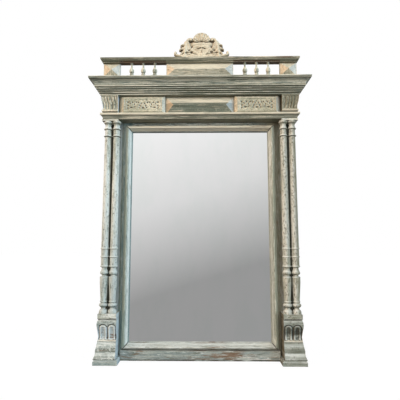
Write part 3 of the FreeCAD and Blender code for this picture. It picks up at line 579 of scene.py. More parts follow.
# Words in the names of nodes, and the material of those nodes: the first row that fits counts.
LOOKS = {
    "mirror_glass": silvered_glass(),
    "wall_plate": old_metal("zinc_plated_steel", linear(170, 172, 170), linear(120, 80, 50), 0.1),
    "backboard_nails": old_metal("iron_nail", linear(90, 86, 82), linear(92, 56, 36), 0.7),
    "backboard glass_wedges": bare_wood(),
    "top_glass_moulding bottom_glass_moulding": painted(
        "moulding_paint_level", "x", (168, 166, 150), (122, 124, 108), CHALK, 0.36, wear=0.5,
        dirt_and_shade_share=0.20, seed=4.0, trim=moulding_trim(True), slope=0.1, sag=0.0),
    "glass_moulding": painted(
        "moulding_paint_upright", "z", (190, 194, 180), (144, 150, 136), CHALK, 0.34, wear=0.25,
        dirt_and_shade_share=0.12, seed=3.0, side_light_and_shade=(0.20, 0.0), trim=moulding_trim(False), slope=0.0),
    "stile": painted(
        "case_paint_upright", "z", (180, 192, 182), (138, 158, 156), CHALK, 0.28, wear=0.30, dirt_and_shade_share=0.35,
        seed=1.0, side_light_and_shade=(0.60, 0.50), right_shade_tone=WARM_SHADE_TONE, trim=stile_trim),
    "top_rail bottom_rail base_board": painted(
        "case_paint_level", "x", (184, 188, 180), (142, 152, 149), CHALK, 0.30, wear=0.50, dirt_and_shade_share=0.5,
        seed=2.0, trim=worn_trim),
    "colonette": painted(
        "turned_paint", "z", (234, 230, 218), (188, 190, 176), CHALK, 0.5, wear=0.20, dirt_and_shade_share=0.95,
        seed=6.0, edge=BUFF, side_light_and_shade=(0.08, 0.20), trim=turned_trim, slope=0.7, sag=0.7, specks=0.8),
    "baluster": painted(
        "baluster_paint", "z", (198, 196, 182), (146, 148, 134), IVORY, 0.4, wear=0.35, dirt_and_shade_share=0.9,
        seed=20.0, slope=0.7, sag=0.7, specks=0.8),
    "crest": painted(
        "crest_paint", "any", (228, 212, 186), (204, 186, 158), CREAM, 0.4, wear=0.2, dirt_and_shade_share=0.9,
        seed=8.0, edge=TERRACOTTA, slope=0.2, specks=0.5, dirt=BROWN_DIRT_AND_SHADE),
    "carved_frieze_panel": painted(
        "carved_paint", "any", (204, 198, 174), (172, 170, 148), CREAM, 0.30, wear=0.15, dirt_and_shade_share=0.95,
        seed=10.0, side_light_and_shade=(0.0, 0.45), slope=0.35, dirt=OLIVE_DIRT_AND_SHADE, hips=0.25),
    "corbel": painted(
        "corbel_paint", "z", (188, 186, 168), (134, 138, 122), CREAM, 0.36, wear=0.3, dirt_and_shade_share=0.85,
        seed=18.0, side_light_and_shade=(0.0, 0.60), slope=0.35, specks=0.85, flanks=0.85),
    "console_block": painted(
        "pedestal_paint", "x", (204, 206, 194), (160, 164, 150), CHALK, 0.40, wear=0.25, seed=7.0,
        side_light_and_shade=(0.0, 0.45), trim=lines_trim("left_console_block", BLOCK_SHADOW_LINES), specks=0.7, flanks=0.7),
    "console": painted(
        "console_paint", "x", (190, 196, 188), (144, 154, 148), CHALK, 0.36, wear=0.25, dirt_and_shade_share=0.75,
        seed=9.0, side_light_and_shade=(0.12, 0.40), specks=0.85, slope=0.35, flanks=0.7, trim=console_trim),
    "plinth": painted(
        "plinth_paint", "x", (174, 184, 178), (140, 154, 152), CHALK, 0.26, wear=0.30, seed=16.0,
        side_light_and_shade=(0.0, 0.55), slope=0.2, flanks=0.6),
    "centre_frieze_panel": painted(
        "hipped_panel_paint", "long", (140, 148, 136), (102, 112, 100), CREAM, 0.28, wear=0.20,
        dirt_and_shade_share=0.25, seed=13.0, trim=lines_trim("centre_frieze_panel", HIPPED_LIGHT_AND_SHADE), slope=0.1, sag=0.2,
        specks=0.5, hips=0.45),
    "gallery_end_block": painted(
        "end_block_paint", "z", (208, 200, 178), (172, 168, 146), CREAM, 0.40, wear=0.35, seed=15.0,
        slope=0.5, specks=0.6, hips=0.6, flanks=0.6),
    "gallery_centre_block": painted(
        "gallery_block_paint", "x", (216, 210, 194), (174, 170, 154), CREAM, 0.45, wear=0.30,
        seed=14.0, slope=0.7, hips=0.6),
    "abacus": painted(
        "abacus_paint", "x", (232, 226, 208), (200, 194, 176), CHALK, 0.45, wear=0.3, seed=17.0),
    "cornice_bed": painted(
        "cornice_bed_paint", "long", (138, 146, 134), (86, 94, 82), IVORY, 0.44, wear=0.20, seed=5.5,
        slope=0.8, sag=0.8),
    "cornice": painted(
        "cornice_paint", "long", (160, 168, 158), (98, 106, 96), IVORY, 0.52, wear=0.15, seed=5.0,
        slope=0.6, sag=0.25, trim=lines_trim("cornice_crown_front", CROWN_LINES)),
    "architrave": painted(
        "architrave_paint", "long", (170, 168, 154), (128, 128, 114), CREAM, 0.42, wear=0.30,
        seed=11.0, trim=lines_trim("architrave", ARCHITRAVE_LINES)),
    "gallery_rail": painted(
        "gallery_rail_paint", "long", (134, 134, 118), (96, 98, 84), CREAM, 0.28, wear=0.5, seed=12.0,
        trim=rail_trim),
    "frieze_board": painted(
        "frieze_board_paint", "x", (218, 220, 212), (192, 196, 188), CHALK, 0.40, wear=0.20, dirt_and_shade_share=0.2,
        seed=19.0),
}


def look_of(node):
    return next(look for words, look in LOOKS.items() if any(word in node for word in words.split()))


def dress_nodes():
    for name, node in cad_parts.items():
        for slot in node.material_slots:
            slot.material = look_of(name)


def soft_step(value, low, high):
    """From zero to one as a value goes from low to high, with soft ends."""
    t = np.clip((value - low) / (high - low), 0, 1)
    return t * t * (3 - 2 * t)


def arc_through(first, middle, last, steps):
    """Points on the circle through three points, from just after the first to the last."""
    a, b, c = (complex(*point) for point in (first, middle, last))
    skew = (c - a) / (b - a)
    centre = a + (b - a) * (skew - abs(skew) ** 2) / (skew - skew.conjugate())
    half, full = (cmath.phase((point - centre) / (a - centre)) % (2 * math.pi) for point in (b, c))
    if half > full:
        full -= 2 * math.pi
    arc = [centre + (a - centre) * cmath.rect(1, full * (step + 1) / steps) for step in range(steps)]
    return [(point.real, point.imag) for point in arc]


def traced(shares, width, height, steps=10):
    """Points along an outline given in shares, with its arcs divided."""
    points = []
    middle = None
    for entry in shares:
        place = (entry[-2] * width, entry[-1] * height)
        if len(entry) > 2:
            middle = place
        elif middle is None:
            points.append(place)
        else:
            points += arc_through(points[-1], middle, place, steps)
            middle = None
    return points


def divided(points, pitch):
    """The same line with points at most a pitch apart."""
    fine = [points[0]]
    for (ax, ay), (bx, by) in zip(points, points[1:]):
        count = max(1, math.ceil(math.hypot(bx - ax, by - ay) / pitch))
        for step in range(1, count + 1):
            fine.append((ax + (bx - ax) * step / count, ay + (by - ay) * step / count))
    return fine


def curved(points, steps=6):
    """A smooth line through a few points."""
    ends = [points[0]] + list(points) + [points[-1]]
    line = []
    for four in zip(ends, ends[1:], ends[2:], ends[3:]):
        for step in range(steps):
            t = step / steps
            line.append(tuple(0.5 * (2 * b + (c - a) * t + (2 * a - 5 * b + 4 * c - d) * t * t
                                     + (3 * b - a - 3 * c + d) * t ** 3) for a, b, c, d in zip(*four)))
    return line + [tuple(points[-1])]


def segment_gap(x, z, start, end):
    """Share along a segment of its place nearest to each point, and the distance to it."""
    (ax, az), (bx, bz) = start, end
    long = (bx - ax) ** 2 + (bz - az) ** 2
    t = np.clip(((x - ax) * (bx - ax) + (z - az) * (bz - az)) / long, 0, 1)
    return t, np.hypot(x - ax - t * (bx - ax), z - az - t * (bz - az))


VEIN_WIDTH = 0.22


class Relief:
    """Heights of a carving on a set of points, built up from rounded strokes, in millimetres."""

    def __init__(self, across, up):
        self.across = across
        self.up = up
        self.height = np.zeros_like(across)
        self.inside = np.full_like(across, -1.0)

    def stroke(self, path, widths, heights, vein=0.0):
        """A ridge along a path, with half widths and heights for its start and end, and a vein."""
        line = curved(path)
        best = np.full_like(self.across, -1e9)
        share = np.zeros_like(self.across)
        for number, (start, end) in enumerate(zip(line, line[1:])):
            t, gap = segment_gap(self.across, self.up, start, end)
            whole = (number + t) / (len(line) - 1)
            depth = 1 - gap / np.interp(whole, (0, 1), widths)
            better = depth > best
            best = np.where(better, depth, best)
            share = np.where(better, whole, share)
        off = np.clip(1 - best, 0, 1)
        ridge = np.sqrt(1 - off ** 2) * (1 - vein * np.exp(-(off / VEIN_WIDTH) ** 2))
        self.height = np.maximum(self.height, np.interp(share, (0, 1), heights) * ridge)
        self.inside = np.maximum(self.inside, best * np.interp(share, (0, 1), widths))

    def boss(self, x, z, radius, tall):
        off = np.hypot(self.across - x, self.up - z) / radius
        self.height = np.maximum(self.height, tall * np.sqrt(np.clip(1 - off ** 2, 0, 1)))
        self.inside = np.maximum(self.inside, (1 - off) * radius)


def new_piece(name, vertices, faces, relief, node, smooth):
    """A mesh piece that replaces a node. Its relief says where the paint is rubbed pale and painted as
    highlight, and where it is dirty and painted as shade.
    """
    mesh = bpy.data.meshes.new(name)
    mesh.from_pydata([tuple(float(c) for c in v) for v in vertices], [], faces)
    mesh.attributes.new("relief", "FLOAT", "POINT").data.foreach_set("value", relief)
    mesh.polygons.foreach_set("use_smooth", [True] * len(mesh.polygons))
    mesh.set_sharp_from_angle(angle=math.radians(smooth))
    mesh.materials.append(look_of(node))
    piece = new_thing(name, mesh)
    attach(piece, "root")
    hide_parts(node)


# Carved plates: how fine their grid is, how far a slope is probed, and the angle in degrees up to
# which their edges are smooth.
PLATE_PITCH = 1.4 * MM
RIM_PROBE = 0.05 * PLATE_PITCH
PLATE_SMOOTH = 45


def snapped_to_rim(x, z, rim, depths, low, high):
    """The grid's rim points moved onto the line where the carving's outline is."""
    for _ in range(3):
        value = depths(x, z)[0]
        slope_x = (depths(x + RIM_PROBE, z)[0] - value) / RIM_PROBE
        slope_z = (depths(x, z + RIM_PROBE)[0] - value) / RIM_PROBE
        steep = np.maximum(slope_x ** 2 + slope_z ** 2, 0.05)
        x = np.where(rim, np.clip(x - value * slope_x / steep, low[0], high[0]), x)
        z = np.where(rim, np.clip(z - value * slope_z / steep, low[1], high[1]), z)
    return x, z


def carved_plate(name, node, low, high, depths, back):
    """A closed piece whose front is carved. depths gives (inside, proud, relief) at (x, z) places,
    with inside above zero on the piece."""
    xs, zs = (np.linspace(low[n], high[n], int((high[n] - low[n]) / PLATE_PITCH) + 2) for n in (0, 1))
    x, z = np.meshgrid(xs, zs, indexing="ij")
    kept = depths(x, z)[0] > 0
    near = np.zeros_like(kept)
    for across in (-1, 0, 1):
        for up in (-1, 0, 1):
            near |= np.roll(np.roll(kept, across, 0), up, 1)
    x, z = snapped_to_rim(x, z, near & ~kept, depths, low, high)
    _, proud, relief = depths(x, z)
    number = np.full(x.shape, -1)
    number[near] = np.arange(near.sum())

    faces = []
    edges = set()
    for i in range(x.shape[0] - 1):
        for j in range(x.shape[1] - 1):
            cell = [(i, j), (i + 1, j), (i + 1, j + 1), (i, j + 1)]
            if all(near[c] for c in cell) and any(kept[c] for c in cell):
                ring = [int(number[c]) for c in cell]
                faces.append(ring)
                edges.update(zip(ring, ring[1:] + ring[:1]))
    walls = [(b, a) for a, b in sorted(edges) if (b, a) not in edges]
    used = sorted({v for ring in faces for v in ring})
    count = len(used)
    order = {v: n for n, v in enumerate(used)}
    front = np.stack([x[near], WALL_Y - proud[near], z[near]], 1)[used]
    rear = front.copy()
    rear[:, 1] = WALL_Y - back
    rings = [[order[v] for v in ring] for ring in faces]
    rings += [[order[v] + count for v in reversed(ring)] for ring in faces]
    rings += [[order[a], order[b], order[b] + count, order[a] + count] for a, b in walls]
    shade = np.concatenate([relief[near][used], np.zeros(count)])
    new_piece(name, np.concatenate([front, rear]), rings, shade, node, PLATE_SMOOTH)


LEVEL_PITCH = 1.6 * MM
ACROSS_PITCH = 1.4 * MM
BRACKET_SMOOTH = 50


def swept_bracket(name, node, profile, inner, outer, back, front, side, carve):
    """A bracket swept on its front and outer side. profile is (out, z) from the bottom up, and
    carve gives how deep the front is cut and its relief at (across from the inner side, z)."""
    line = np.array(divided(profile, LEVEL_PITCH))
    ahead = np.gradient(line, axis=0)
    long = np.maximum(np.hypot(ahead[:, 0], ahead[:, 1]), 1e-9)
    steps = int((outer - inner) / ACROSS_PITCH)
    vertices = []
    shade = []
    for (out, z), lean_out, lean_up in zip(line, ahead[:, 1] / long, -ahead[:, 0] / long):
        across = np.linspace(0, outer + out - inner, steps + 1)
        cut, relief = carve(across, np.full_like(across, z), outer + out - inner)
        cut[0] = cut[-1] = 0
        level = [(inner, back, z)]
        level += [(inner + place, front + out - depth * lean_out, z - depth * lean_up)
                  for place, depth in zip(across, cut)]
        level.append((outer + out, back, z))
        vertices += [(side * x, WALL_Y - proud, up) for x, proud, up in level]
        shade += [0.0, *relief, 0.0]
    ring = steps + 3
    faces = []
    for level in range(len(line) - 1):
        for n in range(ring):
            a, b = level * ring + n, level * ring + (n + 1) % ring
            faces.append([a, b, b + ring, a + ring])
    last = (len(line) - 1) * ring
    faces.append(list(range(ring))[::-1])
    faces.append([last + n for n in range(ring)])
    if side < 0:
        faces = [face[::-1] for face in faces]
    new_piece(name, vertices, faces, shade, node, BRACKET_SMOOTH)


# Distances from a carved field's edge where the carving begins and where it has its full depth.
MARGIN = (1.5 * MM, 4 * MM)

# Relief tone, from 1 where the paint is rubbed pale and painted as highlight to -1 where it is dirty and
# painted as shade.
LEAF_TONE = 0.5
LOBE_TONE = 0.6
FILLET_TONE = 0.8
HOOD_TONE = 1.0
HOLLOW_TONE = -0.9
HOOD_HOLLOW_TONE = -0.8
SHADED_HOLLOW_TONE = -1.0


def carved_tone(raised, hollow, depth):
    """The tone at a share of the carving's depth."""
    return raised + (hollow - raised) * depth


CREST_BACK = 64 * MM
CREST_PLATE = 12 * MM

# Relief tone on the crest: painted shade on its ground and painted highlight on its tallest places, how
# much darker the shell is, how much dirtier the shell's rim is, and how much painted shade darkens the pits.
CREST_TALL = 10.0
CREST_TONES = (-0.55, 0.95)
SHELL_DARKENING = 0.45
RIM_DIRT = 0.6
PIT_SHADE = 0.9

# The right half of the crest's leaves in millimetres from the middle of its foot:
# path, half width at its start and end, height at its start and end, depth of its vein.
CREST_STROKES = [
    # Main rib of the big leaf, which rises from the foot and curls inwards at the shoulder.
    ([(98, 4), (93, 30), (90, 56), (86, 78), (79, 98), (69, 109), (58, 111), (49, 106)],
     (11, 7.5), (9, 8), 0.0),
    # Leaf tips on its outer side, which hang down and out.
    ([(80, 86), (95, 79), (110, 73)], (10, 6.5), (8, 9), 0.3),
    ([(88, 64), (103, 57), (117, 50)], (10, 6.5), (8, 9), 0.3),
    ([(92, 42), (104, 35), (112, 26)], (9, 6), (7, 8), 0.3),
    # Curl at the end of the foot.
    ([(88, 10), (112, 15), (133, 19), (145, 27), (143, 36)], (9, 5.5), (7, 8), 0.0),
    # Inner edge of the big leaf, and its lobes below.
    ([(76, 90), (70, 72), (62, 54), (52, 40)], (8, 5), (9, 6), 0.3),
    ([(92, 20), (80, 26), (64, 28)], (8, 5), (7, 5), 0.2),
    ([(88, 46), (80, 46), (76, 38)], (7, 5), (7, 6), 0.0),
    # Broad petals beside the stem, with a rolled lower lip.
    ([(6, 80), (24, 82), (45, 80)], (14, 11), (8, 8), 0.0),
    ([(6, 69), (22, 69), (40, 66)], (12, 10), (8.5, 7), 0.0),
    ([(3, 63), (14, 60), (27, 54)], (4.5, 3), (10, 8), 0.0),
    # Swelling ground behind the petals and behind the big leaf's inner edge.
    ([(4, 58), (38, 56)], (36, 26), (6, 5), 0.0),
    ([(84, 92), (78, 68), (68, 44)], (11, 11), (6, 5.5), 0.0),
    # Smooth sepals at the foot of the stem.
    ([(10, 30), (24, 36), (41, 38)], (15, 9), (5, 4), 0.2),
    ([(44, 16), (56, 18), (66, 14)], (9, 6), (6, 5), 0.2),
    # Stem.
    ([(0, 88), (0, 50), (0, 4)], (2.6, 3.5), (10, 9), 0.0),
]
CREST_GROUND = [(-1, -1), (112, -1), (106, 24), (100, 44), (94, 66), (84, 86), (74, 100), (62, 101),
                (46, 112), (0, 120), (-1, 120)]

# Pits cut deep between the leaves and painted dark as shade: place, half width and half height, in
# millimetres.
CREST_PITS = [(61, 96, 10, 3.5), (106, 71, 6, 3.5), (112, 47, 6, 4), (53, 65, 4.5, 5), (69, 45, 5, 4),
              (54, 37, 7, 2.5), (84, 31, 8, 2.5), (7, 59, 6, 2.2), (17, 55, 7, 2.4), (26, 91, 9, 1.6),
              (100, 28, 4, 3), (0, 38, 1.8, 16)]
CREST_PIT_DEPTH = 6.0
VOLUTE_EYE = (58, 104, 7, 9.5)
CREST_ROUNDING = 3.0
FOOT_BAND_HEIGHT = 22
FOOT_BAND_REACH = 100
FOOT_BAND_RISE = 6
FOOT_BAND_EDGE = 3

# The shell in millimetres: its middle, its radius and the hub of its flutes, the lower hem with a
# peak of some height and half width and with steps outwards, and where the flutes begin and end.
SHELL_MIDDLE = 97
SHELL_RADIUS = 51
SHELL_HUB = 84
SHELL_HEM = 91
SHELL_HEM_PEAK = (5, 13)
SHELL_HEM_STEPS = [(-1, 14, 26), (8, 34, 46)]
SHELL_RIBS = 9
SHELL_SWELL = 9.0
SHELL_EDGE = 6
SHELL_FLUTE = 3.6
SHELL_FLUTE_ROUNDNESS = 0.6
SHELL_FLUTE_START = (10, 24)
SHELL_FLUTE_END = (3, 7)
SHELL_RIM = 1.6
SHELL_RIM_PLACE = 3
SHELL_RIM_WIDTH = 2.2
SHELL_LINE = 1.6


def polygon_inside(x, z, corners):
    """Distance inside a polygon, below zero outside it."""
    gap = np.full_like(x, 1e9)
    within = np.zeros(x.shape, bool)
    for (ax, az), (bx, bz) in zip(corners, corners[1:] + corners[:1]):
        gap = np.minimum(gap, segment_gap(x, z, (ax, az), (bx, bz))[1])
        if az != bz:
            within ^= ((az > z) != (bz > z)) & (x < ax + (z - az) * (bx - ax) / (bz - az))
    return np.where(within, gap, -gap)


def pit_depths(u, v, pits):
    """Soft round pits, one at their deepest."""
    deepest = np.zeros_like(u)
    for x, z, half_wide, half_high in pits:
        deepest = np.maximum(deepest, np.exp(-((u - x) / half_wide) ** 2 - ((v - z) / half_high) ** 2))
    return deepest


def shell_relief(u, v):
    """The fluted shell over the stem: how far inside it a place is, and its height."""
    peak, peak_width = SHELL_HEM_PEAK
    hem = SHELL_HEM + peak * np.exp(-(u / peak_width) ** 2)
    for rise, start, end in SHELL_HEM_STEPS:
        hem = hem + rise * soft_step(u, start, end)
    away = np.hypot(u, v - SHELL_MIDDLE)
    inside = np.minimum(SHELL_RADIUS - away, v - hem)
    started = soft_step(np.hypot(u, v - SHELL_HUB), *SHELL_FLUTE_START)
    fan = np.abs(np.cos(np.arctan2(v - SHELL_HUB, u) * SHELL_RIBS)) ** SHELL_FLUTE_ROUNDNESS
    body = SHELL_SWELL * np.sqrt(np.clip(inside / SHELL_EDGE, 0, 1))
    flutes = SHELL_FLUTE * (1 - fan) * started * soft_step(SHELL_RADIUS - away, *SHELL_FLUTE_END)
    off_rim = (SHELL_RADIUS - away - SHELL_RIM_PLACE) / SHELL_RIM_WIDTH
    rim = SHELL_RIM * np.exp(-off_rim ** 2) * (v > SHELL_MIDDLE)
    return inside, body - flutes + rim


def crest_depths(middle_x, foot_z):
    """Leaves, stem and foot band under the shell, on a plate of their own outline."""
    def depths(x, z):
        u = np.abs((x - middle_x) / MM)
        v = (z - foot_z) / MM
        relief = Relief(u, v)
        for stroke in CREST_STROKES:
            relief.stroke(*stroke)
        relief.boss(*VOLUTE_EYE)
        shell, shell_height = shell_relief(u, v)
        band = np.minimum(FOOT_BAND_HEIGHT - v, FOOT_BAND_REACH - u)
        ground = polygon_inside(u, v, CREST_GROUND)
        inside = np.minimum(np.maximum.reduce([relief.inside, ground, shell, band]), v)
        height = np.where(shell > 0, shell_height, relief.height)
        foot = FOOT_BAND_RISE * np.sqrt(np.clip(band / FOOT_BAND_EDGE, 0, 1))
        height = np.where(band > 0, np.maximum(height, foot), height)
        pits = pit_depths(u, v, CREST_PITS)
        height = height - CREST_PIT_DEPTH * pits
        rounding = CREST_ROUNDING * (1 - np.clip(inside / CREST_ROUNDING, 0, 1)) ** 2
        proud = CREST_BACK + CREST_PLATE + (height - rounding) * MM
        tone = carved_tone(*CREST_TONES, height / CREST_TALL) - SHELL_DARKENING * (shell > 0)
        rim = np.exp(-((shell - SHELL_LINE) / SHELL_LINE) ** 2) * (v > SHELL_MIDDLE)
        return inside * MM, proud, tone - PIT_SHADE * pits - RIM_DIRT * rim
    return depths


def carve_crest():
    low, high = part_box("crest")
    carved_plate("carved_crest", "crest", (low[0], low[2]), (high[0], high[2]),
                 crest_depths((low[0] + high[0]) / 2, low[2]), CREST_BACK)


PANEL_BEVEL = 14 * MM
PANEL_SHOULDER = 85 * MM
PANEL_FIELD = 92 * MM
PANEL_CUT = 5.5 * MM
PANEL_SKIRT_DROP = 17 * MM
PANEL_CLEARANCE = 0.5 * MM

# Leaves of the right half of a carved panel, in millimetres from its middle:
# path, half width at its start and end, and depth of its vein.
PANEL_LEAVES = [
    ([(4, -26), (10, -10), (3, 8)], (5.5, 6.5), 0.3),
    ([(6, -24), (20, -14), (22, 4), (10, 22)], (5.0, 7.5), 0.3),
    ([(16, -27), (30, -25), (42, -14)], (6.5, 5.0), 0.2),
    ([(26, 26), (34, 22), (42, 12)], (7.0, 5.0), 0.3),
    ([(34, -4), (40, 2)], (4.5, 4.5), 0.0),
    ([(86, -27), (92, -14), (93, 2)], (7.0, 5.5), 0.3),
    ([(93, 8), (94, 18), (86, 27)], (5.5, 7.0), 0.3),
    ([(52, -29), (62, -25), (74, -29)], (5.5, 5.5), 0.0),
    ([(54, 29), (64, 25), (74, 29)], (5.0, 5.0), 0.0),
]

# Pits between the leaves, cut deeper and painted dark as shade: place, half width and half height, in
# millimetres.
PANEL_PITS = [(81, 15, 4, 3.5), (80, -4, 4, 3), (81, -17, 4, 3), (61, -14, 8, 3), (68, 6, 3, 3.5),
              (46, 3, 3, 4), (43, -11, 3.5, 3), (36, 15, 4, 3), (24, 13, 4, 3), (16, -4, 3.5, 4),
              (20, -15, 3.5, 3), (2, -15, 5, 3), (8, 8, 3, 3), (56, 15, 4, 2.5)]
PANEL_FILL = 0.62
PANEL_PROUDEST = -0.1
PANEL_LEAF_RISE = (0.85, 1.0)
ROSETTE_PLACE = (66, 0)
ROSETTE_PETALS = 5
ROSETTE_REACH = 15
ROSETTE_WIDTH = 8.0
ROSETTE_RISE = (1.0, 0.95)
ROSETTE_VEIN = 0.25
ROSETTE_TURN = 0.3
ROSETTE_EYE = 4.5
ROSETTE_EYE_RISE = 1.2


def foliage(across, up):
    """Two flowers among leaves with a palmette between them."""
    relief = Relief(np.abs(across), up)
    for path, widths, vein in PANEL_LEAVES:
        relief.stroke(path, widths, PANEL_LEAF_RISE, vein)
    x, z = ROSETTE_PLACE
    for number in range(ROSETTE_PETALS):
        turn = ROSETTE_TURN + 2 * math.pi * number / ROSETTE_PETALS
        way = (math.cos(turn), math.sin(turn))
        ends = [(x + reach * way[0], z + reach * way[1]) for reach in (ROSETTE_EYE, ROSETTE_REACH)]
        relief.stroke(ends, (ROSETTE_WIDTH / 2, ROSETTE_WIDTH), ROSETTE_RISE, ROSETTE_VEIN)
    relief.boss(x, z, ROSETTE_EYE, ROSETTE_EYE_RISE)
    return np.maximum(relief.height, PANEL_FILL) - pit_depths(np.abs(across), up, PANEL_PITS)


def panel_depths(middle_x, middle_z, half_wide, half_high, left_skirt, right_skirt):
    """A bevelled field of foliage, with a skirt on both sides that slopes back into the recess."""
    def depths(x, z):
        beyond = np.abs(x - middle_x) - half_wide
        skirt = np.where(x < middle_x, left_skirt, right_skirt)
        inside = np.minimum(-beyond, half_high - np.abs(z - middle_z))
        rise = np.clip(inside / PANEL_BEVEL, 0, 1)
        proud = PANEL_SHOULDER + rise * (PANEL_FIELD - PANEL_SHOULDER)
        proud = proud - PANEL_SKIRT_DROP * np.clip(beyond / skirt, 0, 1)
        leaves = foliage((x - middle_x) / MM, (z - middle_z) / MM)
        room = soft_step(inside - PANEL_BEVEL, *MARGIN)
        hollow = np.clip(1 - leaves, PANEL_PROUDEST, 1)
        inside = np.minimum(skirt - beyond, half_high - np.abs(z - middle_z))
        return inside, proud - room * PANEL_CUT * hollow, room * carved_tone(LEAF_TONE, HOLLOW_TONE, hollow)
    return depths


def carve_panels():
    for side in ("right", "left"):
        node = side + "_carved_frieze_panel"
        low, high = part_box(node)
        middle = [(low[axis] + high[axis]) / 2 for axis in (0, 2)]
        half = [(high[axis] - low[axis]) / 2 for axis in (0, 2)]
        centre_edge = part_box("centre_frieze_panel")[1][0]
        corbel_edge = box_across(side + "_frieze_corbel")[0]
        near, far = box_across(node)[:2]
        skirts = [near - centre_edge - PANEL_CLEARANCE, corbel_edge - far - PANEL_CLEARANCE]
        if side == "left":
            skirts.reverse()
        carved_plate(side + "_carved_panel", node, (low[0] - skirts[0], low[2]),
                     (high[0] + skirts[1], high[2]),
                     panel_depths(*middle, *half, *skirts), FRIEZE_FACE)


CORBEL_SWEEP = 9 * MM
CORBEL_FOOT = 20 * MM
CORBEL_SWEEP_SHARES = [(0.95, 0), ("arc", 0.98, 0.18), (0.75, 0.38), ("arc", 0.30, 0.60), (0, 0.85), (0, 1.0)]
CORBEL_FOOT_SHARES = [(-0.95, 0), ("arc", -0.92, 0.35), (-0.45, 0.55), (-0.45, 1.0)]
CORBEL_FILLET_SHARE = 0.48
CORBEL_CUT = 6.0 * MM

# The corbels' lobes: how far and how often they sway up and across, their roundness, where they
# begin and end in shares of the height and how far their tips reach past that, where and by how
# much they sink upwards, and how deep and how often their ridges ripple.
LOBES = 5
LOBE_SWAYS = [(0.10, 7.0), (0.14, 9.0)]
LOBE_ROUNDNESS = 0.7
LOBE_START = (0.02, 0.10)
LOBE_END = (0.84, 0.92)
LOBE_TIP = 0.06
LOBE_SINKING = (0.25, 0.7, 0.35)
LOBE_RIPPLE = 0.22
LOBE_RIPPLES = 23
CONSOLE_WAIST = 20 * MM
CONSOLE_SHARES = [(0.05, 0), (0.05, 0.03), ("arc", 0.32, 0.10), (0.42, 0.22), ("arc", 0.72, 0.38),
                  (1.0, 0.56), ("arc", 0.80, 0.70), (0.60, 0.83), ("arc", 0.64, 0.93), (0.86, 1.0)]


def shifted(points, out, up):
    return [(x + out, z + up) for x, z in points]


def corbel_cut(low_z, high_z, turn):
    """Uneven reeded lobes with hollows between them painted dark as shade, over a fillet painted pale as
    highlight and a hollow painted dark as shade.
    """
    def carve(across, z, wide):
        v = (z - low_z) / (high_z - low_z)
        share = across / wide
        wave = share * LOBES
        for place, (reach, turns) in zip((v, share), LOBE_SWAYS):
            wave = wave + reach * np.sin(place * turns + turn)
        lobe = np.abs(np.sin(np.pi * wave)) ** LOBE_ROUNDNESS
        band = soft_step(v, *LOBE_START) * (1 - soft_step(v - LOBE_TIP * lobe, *LOBE_END))
        start, end, sinking = LOBE_SINKING
        ripple = 0.5 - 0.5 * np.sin(v * LOBE_RIPPLES + 4 * np.sin(wave * 2.1 + turn))
        lobe = lobe * (1 - sinking * soft_step(v, start, end)) * (1 - LOBE_RIPPLE * ripple)
        depth = band * (1 - lobe)
        margin = soft_step(across, *MARGIN) * soft_step(wide - across, *MARGIN)
        tone = margin * band * carved_tone(LOBE_TONE, HOLLOW_TONE, depth)
        hollow = z < low_z - CORBEL_FOOT * CORBEL_FILLET_SHARE
        fillet = (z < low_z) & ~hollow
        return CORBEL_CUT * depth * margin, np.where(hollow, SHADED_HOLLOW_TONE, np.where(fillet, FILLET_TONE, tone))
    return carve


def carve_corbels():
    for side, sign in (("right", 1), ("left", -1)):
        node = side + "_frieze_corbel"
        inner, outer, low, high = box_across(node)
        foot = traced(CORBEL_FOOT_SHARES, CORBEL_SWEEP, CORBEL_FOOT)
        sweep = traced(CORBEL_SWEEP_SHARES, -CORBEL_SWEEP, high - low - CORBEL_FOOT)
        profile = shifted(foot, 0, low) + shifted(sweep, 0, low + CORBEL_FOOT)
        swept_bracket(side + "_leaf_corbel", node, profile, inner, outer, FRIEZE_FACE, CORBEL_FRONT,
                      sign, corbel_cut(low + CORBEL_FOOT, high, sign))


# The two hoods on each console, in millimetres from the console's inner foot: their middles, the
# middle line of their ridge and its half widths, the hollow round them and the floor inside them.
HOOD_MIDDLES = (23, 67)
HOOD_REACH = 13.0
HOOD_WIDTH = 6.6
HOOD_LEG_WIDTH = 4.2
HOOD_TIP_RADIUS = 6.0
HOOD_LEG_Z = 97
HOOD_SPRING_Z = 146
HOOD_RIM = 5.0
HOOD_CUT = 7.0
HOOD_RISE = 1.4
HOOD_TOP = HOOD_CUT + HOOD_RISE
HOOD_FLOOR = 3.6
HOOD_FLOOR_WIDTH = 9.0
HOOD_BLUR = 3.0
# On the right hoods, their upper halves are painted darker as shade between these heights.
HOOD_SHADE_SPAN = (106, 132)
HOOD_SHADE_SHARES = {"left": 0.0, "right": 1.2}


def hood_gap(u, v, middle):
    """Distance outside a hood's round-headed outline, below zero inside it."""
    return np.hypot(u - middle, np.maximum(v - HOOD_SPRING_Z, 0)) - HOOD_REACH - HOOD_WIDTH


